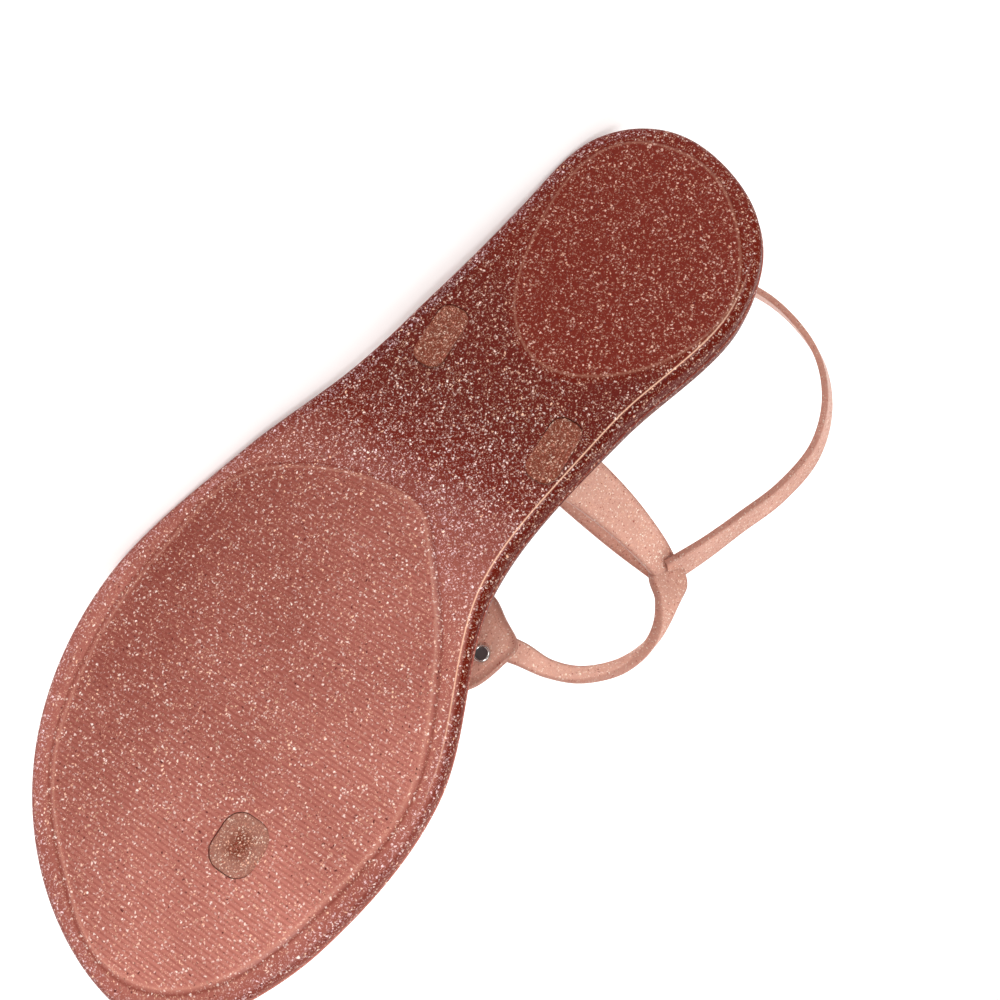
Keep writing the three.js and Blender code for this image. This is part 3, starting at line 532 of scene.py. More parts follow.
@dataclass
class JellyFinish:
    """Translucent PVC full of glitter flakes, with a gloss coat.

    Colours are linear. Flakes are the cells of a fine Voronoi pattern in shoe millimetres: each
    cell draws its own brightness, tint and tilt, and thick places show a deeper red. The mesh
    carries depth from 0 to 2, sparkle from 0 to 1, and distances from edges in millimetres.
    Pairs such as the groove, the bead and the pale edge line hold a bell's place and its half
    width. The groove's darker colour is painted shade; the bead and the edge line are painted
    highlight.
    """

    name: str
    thin: tuple[float, float, float]
    deep: tuple[float, float, float]
    flake: tuple[float, float, float] = (1.0, 0.84, 0.76)
    gold: tuple[float, float, float] = (0.95, 0.60, 0.42)
    # Tint of the painted sheen on the flakes.
    lilac: tuple[float, float, float] = (0.90, 0.66, 0.74)
    dark: tuple[float, float, float] = (0.09, 0.012, 0.012)
    darkest: tuple[float, float, float] = (0.055, 0.002, 0.001)
    dull: tuple[float, float, float] = (0.74, 0.38, 0.26)
    cloud_scale: float = 0.045
    cloud_shade: float = 0.22
    grain_scale: float = 0.6
    grain_height: float = 0.02
    flake_mm: float = 0.7
    fine_share: float = 0.55
    fine_shift: float = 7.3
    bend_scale: float = 1.3
    bend_reach: float = 0.55
    fewest: float = 0.5
    most: float = 0.12
    dark_share: float = 0.1
    flake_tilt: float = 0.45
    ribs: bool = False
    rib_pitch: float = 1.12
    rib_height: float = 0.065
    # Share by which rib valleys darken: painted shade.
    rib_shade: float = 0.34
    # The groove round the pads is bumped in; its darker colour is painted shade.
    groove: tuple[float, float] = (-0.5, 0.45)
    groove_depth: float = 0.07
    groove_shade: float = 0.5
    # The bead round the pads is drawn only in colour, a pale line of painted highlight.
    bead: tuple[float, float] = (0.8, 0.35)
    bead_shade: float = 0.1
    # Share by which the straps' narrow sides and the plate's edge darken: painted shade standing in
    # for refraction.
    rim_painted_shade: float = 0.45
    # A pale line along the sole's medial underside edge: painted highlight.
    seam: tuple[float, float] = (-2.3, 0.17)
    edge_highlight_share: float = 0.7
    roughness: float = 0.4
    coat: float = 0.1
    coat_roughness: float = 0.1
    coat_bump: float = 0.7
    refraction: float = 1.46
    specular: float = 0.05
    scatter: float = 0.08
    scatter_reach: tuple[float, float, float] = (1.0, 0.35, 0.25)
    scatter_scale: float = 0.002

    def ground(self, net: Net, where: bpy.types.NodeSocket,
               depth: bpy.types.NodeSocket) -> bpy.types.NodeSocket:
        """Colour of the clear material: thin, deep and darkest by its depth, softly clouded.

        Args:
            net: The node helper.
            where: Coordinates in shoe millimetres.
            depth: Depth of colour.

        Returns:
            The colour under the flakes.
        """
        base = net.mix(depth, self.thin, self.deep)
        base = net.mix(net.ranged(depth, 1.0, 2.0, 0.0, 1.0), base, self.darkest)
        cloud = net.noise(where, self.cloud_scale, detail=3.0)
        return net.mix(net.ranged(cloud, 0.38, 0.66, 0.0, self.cloud_shade), base, self.deep)

    def treaded(self, net: Net, where: bpy.types.NodeSocket, base: bpy.types.NodeSocket,
                height: bpy.types.NodeSocket) -> tuple[bpy.types.NodeSocket, bpy.types.NodeSocket]:
        """Adds the pads' fine ribs across the sole, and the groove and bead round their edges.

        Args:
            net: The node helper.
            where: Coordinates in shoe millimetres.
            base: The colour so far.
            height: The height so far, in millimetres.

        Returns:
            The new colour and the new height.
        """
        pad = net.attribute("pad", "Fac")
        turn = net.math("MULTIPLY", net.component(where, "X"), 2.0 * math.pi / self.rib_pitch)
        wave = net.math("SINE", turn)
        ridge = net.math("MULTIPLY", net.math("MULTIPLY", wave, self.rib_height), pad)
        height = net.math("ADD", height, ridge)
        # Rib valleys darken: painted shade.
        valley = net.math("MULTIPLY", net.ranged(wave, -1.0, 0.4, self.rib_shade, 0.0), pad)
        base = net.mix(valley, base, self.deep)
        edge = net.attribute("pad_edge", "Fac")
        groove = net.bell(edge, *self.groove)
        height = net.math("SUBTRACT", height, net.math("MULTIPLY", groove, self.groove_depth))
        # Painted shade: the groove's colour deepens.
        base = net.mix(net.math("MULTIPLY", groove, self.groove_shade), base, self.deep)
        # The bead's pale line is painted highlight.
        bead = net.bell(edge, *self.bead)
        return net.mix(net.math("MULTIPLY", bead, self.bead_shade), base, self.gold), height

    def glittered(self, net: Net, base: bpy.types.NodeSocket, depth: bpy.types.NodeSocket,
                  coarse: Flakes, fine: Flakes) -> bpy.types.NodeSocket:
        """Lays both layers of flakes on the colour: fine ones first, then dark and bright ones.

        The flakes' brightness is painted into the colour: partly the flakes' own pale colour, partly
        painted glints. Where sparkle is high more flakes show, brighter and partly lilac, as painted
        highlight and painted sheen. Where it is low over deep colour they are dull.

        Args:
            net: The node helper.
            base: The colour under the flakes.
            depth: Depth of colour.
            coarse: The layer of large flakes.
            fine: The layer of small ones.

        Returns:
            The colour with its flakes.
        """
        sparkle = net.attribute("sparkle", "Fac")
        bottom = net.ranged(sparkle, 0.0, 1.0, self.fewest, self.most)
        # Fine flakes turn lilac where sparkle is high: painted sheen.
        fine_tint = net.mix(net.ranged(sparkle, 0.55, 0.9, 0.0, 0.6), self.gold, self.lilac)
        fine_most = net.ranged(sparkle, 0.15, 0.7, 0.5, 0.72)
        base = net.mix(net.glint(fine, bottom, fine_most), base, fine_tint)
        dark_draw = net.math("LESS_THAN", coarse.tint, self.dark_share)
        base = net.mix(net.math("MULTIPLY", dark_draw, coarse.spot), base, self.dark)
        tint = net.mix(net.ranged(coarse.tint, 0.2, 0.5, 0.0, 1.0), self.gold, self.flake)
        # Tilted coarse flakes turn lilac where sparkle is high: painted sheen.
        painted_sheen = net.math("MULTIPLY", net.ranged(sparkle, 0.55, 1.0, 0.0, 0.75),
                         net.math("GREATER_THAN", coarse.tilt_share, 0.45))
        tint = net.mix(painted_sheen, tint, self.lilac)
        faint = net.math("MULTIPLY", net.ranged(sparkle, 0.15, 0.5, 1.0, 0.0),
                         net.ranged(depth, 0.5, 1.0, 0.0, 0.75))
        tint = net.mix(faint, tint, self.dull)
        coarse_most = net.ranged(sparkle, 0.15, 0.7, 0.9, 1.0)
        return net.mix(net.glint(coarse, bottom, coarse_most), base, tint)

    def edged(self, net: Net, base: bpy.types.NodeSocket) -> bpy.types.NodeSocket:
        """Deepens the straps' narrow sides as painted shade and draws a pale line of painted highlight
        by the sole's edge.

        Args:
            net: The node helper.
            base: The colour so far.

        Returns:
            The new colour.
        """
        # Painted shade: narrow sides and edges deepen where refraction would darken them.
        rim = net.attribute("rim", "Fac")
        base = net.mix(net.math("MULTIPLY", rim, self.rim_painted_shade), base, self.deep)
        # The pale line along the medial underside edge is painted highlight.
        line = net.bell(net.attribute("edge_mm", "Fac"), *self.seam)
        line = net.math("MULTIPLY", line, net.attribute("seam", "Fac"))
        return net.mix(net.math("MULTIPLY", line, self.edge_highlight_share), base, self.gold)

    def material(self) -> bpy.types.Material:
        """Builds the node material.

        Returns:
            The material.
        """
        made = bpy.data.materials.new(self.name)
        made.use_nodes = True
        net = Net(made.node_tree)
        where = net.attribute("shoe_mm")
        depth = net.attribute("depth", "Fac")
        base = self.ground(net, where, depth)
        grain = net.noise(where, self.grain_scale, detail=2.0)
        height = net.math("MULTIPLY", grain, self.grain_height)
        if self.ribs:
            base, height = self.treaded(net, where, base, height)
        bent = net.warped(where, self.bend_scale, self.bend_reach)
        coarse = net.flakes(bent, self.flake_mm, 0.0)
        fine = net.flakes(bent, self.flake_mm * self.fine_share, self.fine_shift)
        base = self.edged(net, self.glittered(net, base, depth, coarse, fine))
        tilted = net.tilted_normal(coarse, self.flake_tilt)
        net.set_inputs({
            "Base Color": base,
            "Normal": net.bump(height, 1.0, tilted),
            "Coat Normal": net.bump(height, self.coat_bump),
            "Roughness": self.roughness,
            "Coat Weight": self.coat,
            "Coat Roughness": self.coat_roughness,
            "IOR": self.refraction,
            "Specular IOR Level": self.specular,
            "Subsurface Weight": self.scatter,
            "Subsurface Radius": self.scatter_reach,
            "Subsurface Scale": self.scatter_scale,
        })
        return made


@dataclass(frozen=True)
class Flakes:
    """Outputs of one layer of glitter: spot mask, draws for brightness and tint, tilt and colour."""

    spot: bpy.types.NodeSocket
    draw: bpy.types.NodeSocket
    tint: bpy.types.NodeSocket
    tilt_share: bpy.types.NodeSocket
    colour: bpy.types.NodeSocket


class Net:
    """A small helper round a material's node tree.

    Where it takes an object, that is a value for an input: a socket, a number, or three or four.
    """

    def __init__(self, tree: bpy.types.NodeTree) -> None:
        """Keeps the material's node tree and its shader node."""
        self.tree = tree
        self.principled = next(n for n in tree.nodes if n.type == "BSDF_PRINCIPLED")

    def feed(self, value: object, target: bpy.types.NodeSocket) -> None:
        """Sets an input.

        Args:
            value: What it is fed.
            target: The input.
        """
        if isinstance(value, bpy.types.NodeSocket):
            self.tree.links.new(value, target)
        elif isinstance(value, (int, float)):
            target.default_value = value
        else:
            numbers = tuple(value)
            target.default_value = (*numbers, 1.0) if len(target.default_value) == 4 else numbers

    def node(self, kind: str, inputs: dict, **settings: str) -> bpy.types.Node:
        """A new node with its settings and inputs.

        Args:
            kind: The node's type, without the words ShaderNode.
            inputs: A value for each input, by index or name.
            settings: Properties of the node.

        Returns:
            The node.
        """
        made = self.tree.nodes.new(f"ShaderNode{kind}")
        for name, value in settings.items():
            setattr(made, name, value)
        for key, value in inputs.items():
            self.feed(value, made.inputs[key])
        return made

    def set_inputs(self, values: dict[str, object]) -> None:
        """Sets the shader's named inputs."""
        for name, value in values.items():
            self.feed(value, self.principled.inputs[name])

    def attribute(self, name: str, output: str = "Vector") -> bpy.types.NodeSocket:
        """A named value of the mesh: its Vector, or its Fac where it is one number."""
        return self.node("Attribute", {}, attribute_name=name).outputs[output]

    def math(self, operation: str, a: object, b: object = 0.0) -> bpy.types.NodeSocket:
        """One number from two."""
        return self.node("Math", {0: a, 1: b}, operation=operation).outputs[0]

    def vector(self, operation: str, a: object, b: object = (0.0, 0.0, 0.0)) -> bpy.types.NodeSocket:
        """One vector from two."""
        return self.node("VectorMath", {0: a, 1: b}, operation=operation).outputs[0]

    def mix(self, share: object, a: object, b: object) -> bpy.types.NodeSocket:
        """A colour between two."""
        return self.node("Mix", {0: share, 6: a, 7: b}, data_type="RGBA").outputs[2]

    def ranged(self, value: object, low: float, high: float, to_low: float,
               to_high: float) -> bpy.types.NodeSocket:
        """A number mapped from low and high to to_low and to_high, and clamped between them."""
        return self.node("MapRange", {0: value, 1: low, 2: high, 3: to_low, 4: to_high}).outputs[0]

    def component(self, vector: bpy.types.NodeSocket, axis: str) -> bpy.types.NodeSocket:
        """One coordinate of a vector."""
        return self.node("SeparateXYZ", {0: vector}).outputs[axis]

    def noise(self, where: bpy.types.NodeSocket, scale: float, detail: float) -> bpy.types.NodeSocket:
        """Soft noise with so many features to the millimetre, and octaves of detail."""
        return self.node("TexNoise", {"Vector": where, "Scale": scale, "Detail": detail}).outputs[0]

    def warped(self, where: bpy.types.NodeSocket, scale: float, reach: float) -> bpy.types.NodeSocket:
        """Coordinates pushed about by noise, so that what is drawn with them turns irregular.

        Args:
            where: Coordinates in shoe millimetres.
            scale: Features of the noise to the millimetre.
            reach: How far it pushes, in millimetres.

        Returns:
            The pushed coordinates.
        """
        cloud = self.node("TexNoise", {"Vector": where, "Scale": scale, "Detail": 1.0})
        inputs = {0: cloud.outputs["Color"], 1: (2.0 * reach,) * 3, 2: where}
        return self.node("VectorMath", inputs, operation="MULTIPLY_ADD").outputs[0]

    def bell(self, value: bpy.types.NodeSocket, centre: float, width: float) -> bpy.types.NodeSocket:
        """A bell of height one: exp(-((value - centre) / width)^2)."""
        away = self.math("DIVIDE", self.math("SUBTRACT", value, centre), width)
        return self.math("EXPONENT", self.math("MULTIPLY", self.math("MULTIPLY", away, away), -1.0))

    def flakes(self, where: bpy.types.NodeSocket, cell_mm: float, shift: float) -> Flakes:
        """One layer of flakes: a Voronoi cell each, with a small round spot at its middle.

        Args:
            where: Coordinates in shoe millimetres.
            cell_mm: Mean distance between flakes.
            shift: Offset of the pattern in millimetres.

        Returns:
            The layer's outputs.
        """
        moved = self.vector("ADD", where, (shift, shift * 0.7, shift * 1.3))
        cells = self.node("TexVoronoi", {"Vector": moved, "Scale": 1.0 / cell_mm})
        draws = self.node("SeparateColor", {0: cells.outputs["Color"]}).outputs
        spot = self.ranged(cells.outputs["Distance"], 0.16, 0.46, 1.0, 0.0)
        return Flakes(spot, draws[0], draws[1], draws[2], cells.outputs["Color"])

    def glint(self, flakes: Flakes, bottom: bpy.types.NodeSocket,
              most: bpy.types.NodeSocket) -> bpy.types.NodeSocket:
        """How strongly each flake shows: most * spot * max(0, (draw - bottom) / (1 - bottom))^1.3.

        Args:
            flakes: The layer of flakes.
            bottom: Draws under this don't show.
            most: Strength of the brightest flake.

        Returns:
            The share of the flake's colour.
        """
        over = self.math("SUBTRACT", flakes.draw, bottom)
        share = self.math("DIVIDE", over, self.math("SUBTRACT", 1.0, bottom))
        clipped = self.math("POWER", self.math("MAXIMUM", share, 0.0), 1.3)
        return self.math("MULTIPLY", self.math("MULTIPLY", clipped, flakes.spot), most)

    def tilted_normal(self, flakes: Flakes, amount: float) -> bpy.types.NodeSocket:
        """The surface normal tilted in each flake by its own draw.

        Args:
            flakes: The layer of flakes.
            amount: Largest sideways part of the tilt.

        Returns:
            The tilted normal.
        """
        centred = self.vector("SUBTRACT", flakes.colour, (0.5, 0.5, 0.5))
        inputs = {0: centred, "Scale": self.math("MULTIPLY", flakes.spot, amount)}
        scaled = self.node("VectorMath", inputs, operation="SCALE").outputs[0]
        normal = self.node("NewGeometry", {}).outputs["Normal"]
        return self.vector("NORMALIZE", self.vector("ADD", normal, scaled))

    def bump(self, height: bpy.types.NodeSocket, strength: float,
             normal: bpy.types.NodeSocket | None = None) -> bpy.types.NodeSocket:
        """A normal from a height in millimetres.

        Args:
            height: The height.
            strength: Share of the bump that is kept.
            normal: The normal it starts from, or None for the surface's own.

        Returns:
            The bumped normal.
        """
        inputs = {"Strength": strength, "Distance": MM, "Height": height}
        if normal is not None:
            inputs["Normal"] = normal
        return self.node("Bump", inputs).outputs[0]


@dataclass(frozen=True)
class MetalFinish:
    """Polished plated metal with faint wear, for the buckle and the rivets."""

    metal: Metal
    colour: tuple[float, float, float]
    worn: tuple[float, float, float]
    roughness: tuple[float, float]
    wear_scale: float = 0.8
    wear_share: float = 0.6
    # Colour of the painted shade inside a rivet's bore; the bore itself is modelled.
    hollow: tuple[float, float, float] = (0.16, 0.165, 0.17)
    hollow_roughness: float = 0.35
    grain_scale: float = 2.5
    grain_height: float = 0.01
    grain_bump: float = 0.6

    def material(self) -> bpy.types.Material:
        """Builds the node material.

        Returns:
            The material.
        """
        made = bpy.data.materials.new(self.metal.value)
        made.use_nodes = True
        net = Net(made.node_tree)
        where = net.attribute("shoe_mm")
        wear = net.noise(where, self.wear_scale, detail=4.0)
        colour = net.mix(net.ranged(wear, 0.4, 0.7, 0.0, self.wear_share), self.colour, self.worn)
        # The bore darkens: painted shade.
        hollow = net.attribute("hollow", "Fac")
        rough = net.math("ADD", net.ranged(wear, 0.3, 0.7, *self.roughness),
                         net.math("MULTIPLY", hollow, self.hollow_roughness))
        grain = net.math("MULTIPLY", net.noise(where, self.grain_scale, detail=3.0), self.grain_height)
        net.set_inputs({
            "Base Color": net.mix(hollow, colour, self.hollow),
            "Roughness": rough,
            "Normal": net.bump(grain, self.grain_bump),
            "Metallic": 1.0,
        })
        return made


def dress(piece: bpy.types.Object, material: bpy.types.Material, slot: str, *nodes: str) -> None:
    """Gives a piece its finish and sets it on the frame in place of its CAD nodes.

    Args:
        piece: The finished object.
        material: Its material.
        slot: The record's material slot; not used.
        nodes: The CAD nodes that it stands for.
    """
    piece.data.materials.clear()
    piece.data.materials.append(material)
    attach(piece, "root")
    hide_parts(*nodes)
    LOG.info("%s: %d faces", piece.name, len(piece.data.polygons))


@dataclass
class SoleSizes:
    """Heights of the sole along its length, in millimetres."""

    heel_thickness: float = 10.5
    forefoot_thickness: float = 6.5
    wedge: tuple[float, float] = (95.0, 150.0)
    arch: tuple[float, float] = (66.0, 126.0)
    arch_rise: float = 2.2
    toe_spring: float = 2.5
    toe_spring_start: float = 205.0
    edge_radius: float = 2.4
    ridge: float = 0.35
    dish: float = 1.2

    def spring(self, x: np.ndarray) -> np.ndarray:
        """Toe spring: toe_spring * share^2 past its start."""
        share = np.maximum(0.0, x - self.toe_spring_start) / (SOLE_LENGTH - self.toe_spring_start)
        return self.toe_spring * share**2

    def bottom(self, x: np.ndarray) -> np.ndarray:
        """Height of the underside beside the pads.

        Args:
            x: Places along the length, in millimetres.

        Returns:
            Heights: the pads' relief, an arch of two smooth steps and the toe spring.
        """
        middle = sum(self.arch) / 2.0
        rise = smooth_step(x, self.arch[0], middle) * (1.0 - smooth_step(x, middle, self.arch[1]))
        return PAD_RELIEF + self.arch_rise * rise + self.spring(x)

    def top(self, x: np.ndarray) -> np.ndarray:
        """Height of the footbed's rim, falling from heel to forefoot along the wedge."""
        fall = (self.heel_thickness - self.forefoot_thickness) * smooth_step(x, *self.wedge)
        return self.heel_thickness - fall + self.spring(x)

    def height(self, level: Level, x: np.ndarray) -> np.ndarray:
        """Height of a named level along the length."""
        levels = {Level.BOTTOM: self.bottom(x), Level.TOP: self.top(x)}
        return levels.get(level, (self.bottom(x) + self.top(x)) / 2.0)

    def plug_face(self, at: tuple[float, float]) -> float:
        """Height of a plug's outer face, sunk a little from the level of the pads."""
        return float(self.bottom(place(*at)[:1])[0]) - PAD_RELIEF + PLUG_RECESS


@dataclass
class RoundedBlock:
    """An upright block with a rounded rectangle as plan, its length along the shoe."""

    centre: tuple[float, float]
    length: float
    width: float
    radius: float

    def ring(self, inset: float, corner_steps: int = 10) -> np.ndarray:
        """The plan ring moved inwards: corner arcs with their radius cut by the inset.

        Args:
            inset: Distance inwards in millimetres.
            corner_steps: Points of each corner.

        Returns:
            The ring, at height 0.
        """
        half_l, half_w = self.length / 2.0 - inset, self.width / 2.0 - inset
        corner = min(max(self.radius - inset, 0.05), half_l - 1e-3, half_w - 1e-3)
        angles = np.linspace(0.0, math.pi / 2.0, corner_steps)[None, :]
        turns = np.arange(4)[:, None] * math.pi / 2.0
        sign_x = np.array([1.0, -1.0, -1.0, 1.0])[:, None]
        sign_y = np.array([1.0, 1.0, -1.0, -1.0])[:, None]
        x = sign_x * (half_l - corner) + corner * np.cos(angles + turns)
        y = sign_y * (half_w - corner) + corner * np.sin(angles + turns)
        flat = np.stack([x.ravel(), y.ravel(), np.zeros(x.size)], axis=1)
        return flat + np.array([*place(*self.centre)[:2], 0.0])

    def body(self, profile: tuple[tuple[float, float], ...], values: dict[str, float]) -> Surface:
        """The closed block through stacked rings.

        Args:
            profile: Rows of inset and height, from the middle of the underside to that of the top.
            values: Named values given to every point.

        Returns:
            The surface, with both ends closed by their middle points.
        """
        rings = [self.ring(inset) + np.array([0.0, 0.0, height]) for inset, height in profile]
        return stacked(rings, values)


def stacked(rings: list[np.ndarray], values: dict[str, float]) -> Surface:
    """A closed body through equal rings, its two ends closed by middle points.

    Args:
        rings: Rings with the same number of points.
        values: Named values given to every point.

    Returns:
        The surface.
    """
    count = len(rings[0])
    points = np.vstack([*rings, rings[0].mean(axis=0), rings[-1].mean(axis=0)])
    faces = [tuple(f) for f in grid_faces(len(rings), count).tolist()]
    low, high = len(points) - 2, len(points) - 1
    last = (len(rings) - 1) * count
    faces += [(i, low, (i + 1) % count) for i in range(count)]
    faces += [(last + (i + 1) % count, high, last + i) for i in range(count)]
    filled = {name: np.full(len(points), number) for name, number in values.items()}
    return Surface(points, outward(points, faces), filled)


@dataclass
class SoleShading:
    """Where the sole's colour is deep and its glitter dense.

    Pairs are the start and end of a smooth step in millimetres, and four numbers are those of a
    rise and of a fall. They are read along or across the shoe, or outwards from its outline, where
    they are negative inside. Depth is 0 for thin and 2 for the darkest, sparkle 0 to 1.
    """

    lateral_step: tuple[float, float] = (2.0, 12.0)
    pad_step: tuple[float, float] = (-0.8, 1.2)
    rib_step: tuple[float, float] = (0.6, 2.2)
    heel_rib_share: float = 0.45
    waist: tuple[float, float, float, float] = (68.0, 98.0, 120.0, 158.0)
    red: tuple[float, float, float, float] = (42.0, 66.0, 84.0, 112.0)
    medial: tuple[float, float, float, float] = (20.0, 50.0, 130.0, 190.0)
    arch_fade: tuple[float, float] = (86.0, 142.0)
    side_fade: tuple[float, float] = (98.0, 152.0)
    toe_fade: tuple[float, float] = (150.0, 235.0)
    across_fade: tuple[float, float] = (-40.0, 45.0)
    front_step: tuple[float, float] = (135.0, 165.0)
    rim_band: tuple[float, float, float, float] = (-4.6, -2.8, -0.4, 0.0)
    # Band of the painted shade along the medial edge.
    painted_shade_band: tuple[float, float] = (-2.0, -1.6)
    # Middle and reach of the painted sheen at the waist, drawn as a patch of extra glitter.
    sheen_at: tuple[float, float] = (122.0, 6.0)
    sheen_reach: tuple[float, float] = (20.0, 28.0)
    heel_depth: float = 1.1
    red_depth: float = 0.38
    arch_lift: float = 0.74
    fore_depth: float = 0.37
    toe_lift: float = 0.3
    across_lift: float = 0.0065
    heel_pad_depth: float = 0.98
    side_depth: float = 0.62
    side_heel_depth: float = 0.4
    rim_depth: float = 0.1
    # Amount of the painted shade along the medial edge.
    painted_shade_depth: float = 0.4
    # The parting ridge on the side is modelled; its lighter colour is painted highlight.
    parting_highlight: float = 0.6
    parting_reach: float = 0.25
    parting_wall: float = 0.12
    under_margin: float = 0.3
    plain_sparkle: float = 0.22
    open_sparkle: float = 0.13
    waist_sparkle: float = 0.3
    sheen_sparkle: float = 0.4
    side_sparkle: float = 0.35
    fore_sparkle: float = 0.08
    # Glitter added along the rounded bottom rim, most on its lateral and front parts: painted
    # highlight.
    rim_glint: float = 0.06
    lit_rim_glint: float = 0.54
    off_pad: float = -9.0

    @staticmethod
    def between(value: np.ndarray, bounds: tuple[float, float, float, float]) -> np.ndarray:
        """One between a rise and a fall, whose starts and ends are the bounds, nought outside."""
        return smooth_step(value, *bounds[:2]) * (1.0 - smooth_step(value, *bounds[2:]))

    def values(self, points: np.ndarray, sole: SoleMoulding) -> dict[str, np.ndarray]:
        """The named values that the finish reads.

        Args:
            points: Points of the cut sole in the shoe frame.
            sole: The sole, for its heights and outlines.

        Returns:
            One number for each point, under each name.
        """
        x, y, z = points.T
        middle = sole.sizes.height(Level.MIDDLE, x)
        fore, heel = (pad.inside_distance(points) for pad in (sole.forefoot, sole.heel))
        wall = -sole.outline.inside_distance(points)
        under = z < sole.sizes.bottom(x) + self.under_margin
        nearest = np.where(np.abs(fore) < np.abs(heel), fore, heel)
        ribbed = np.maximum(smooth_step(fore, *self.rib_step),
                            self.heel_rib_share * smooth_step(heel, *self.rib_step))
        lateral = smooth_step(y, *self.lateral_step)
        on_fore, on_heel = smooth_step(fore, *self.pad_step), smooth_step(heel, *self.pad_step)
        medial = (1.0 - lateral) * self.between(x, self.medial)
        # The rim band, with its lateral and front parts marked bright, carries dense glitter that is
        # painted highlight, over a slightly deeper base.
        rim = (z < middle) * self.between(wall, self.rim_band)
        bright = np.maximum(lateral, smooth_step(x, *self.front_step))

        depth = (self.heel_depth + self.red_depth * self.between(x, self.red)
                 - self.arch_lift * smooth_step(x, *self.arch_fade))
        toe = (self.toe_lift * smooth_step(x, *self.toe_fade)
               - self.across_lift * np.clip(y, *self.across_fade))
        depth = (depth + on_fore * (self.fore_depth - toe - depth)
                 + on_heel * (self.heel_pad_depth - depth))
        side = self.side_depth + self.side_heel_depth * (1.0 - smooth_step(x, *self.side_fade))
        depth = np.where(under, depth, side) + self.rim_depth * rim * bright
        # Painted shade: the colour deepens in a band along the medial edge.
        shade = self.painted_shade_depth * medial * smooth_step(wall, *self.painted_shade_band)
        depth = np.clip(depth + shade, 0.0, 2.0)
        # Painted highlight: the colour is lighter along the parting ridge.
        parting = (np.abs(z - middle) < self.parting_reach) & (wall > -self.parting_wall)
        depth = depth - np.where(parting, self.parting_highlight, 0.0)

        # Painted sheen: extra glitter in a soft patch at the waist.
        away = [(at - centre) / reach
                for at, centre, reach in zip((x, y), self.sheen_at, self.sheen_reach)]
        sheen = np.exp(-(away[0] ** 2 + away[1] ** 2))
        beside = (1.0 - on_fore) * (1.0 - on_heel)
        sparkle = self.plain_sparkle + beside * (
            self.open_sparkle + self.waist_sparkle * self.between(x, self.waist)
            + self.sheen_sparkle * sheen)
        sparkle = (np.where(under, sparkle, self.side_sparkle) + self.fore_sparkle * on_fore
                   + (self.rim_glint + self.lit_rim_glint * bright) * rim)
        return {
            "pad": np.where(under, ribbed, 0.0),
            "pad_edge": np.where(under, nearest, self.off_pad),
            "depth": depth,
            "sparkle": np.clip(sparkle, 0.0, 1.0),
            # Mask of the painted highlight line along the medial underside edge.
            "seam": medial * under,
            "edge_mm": wall,
        }


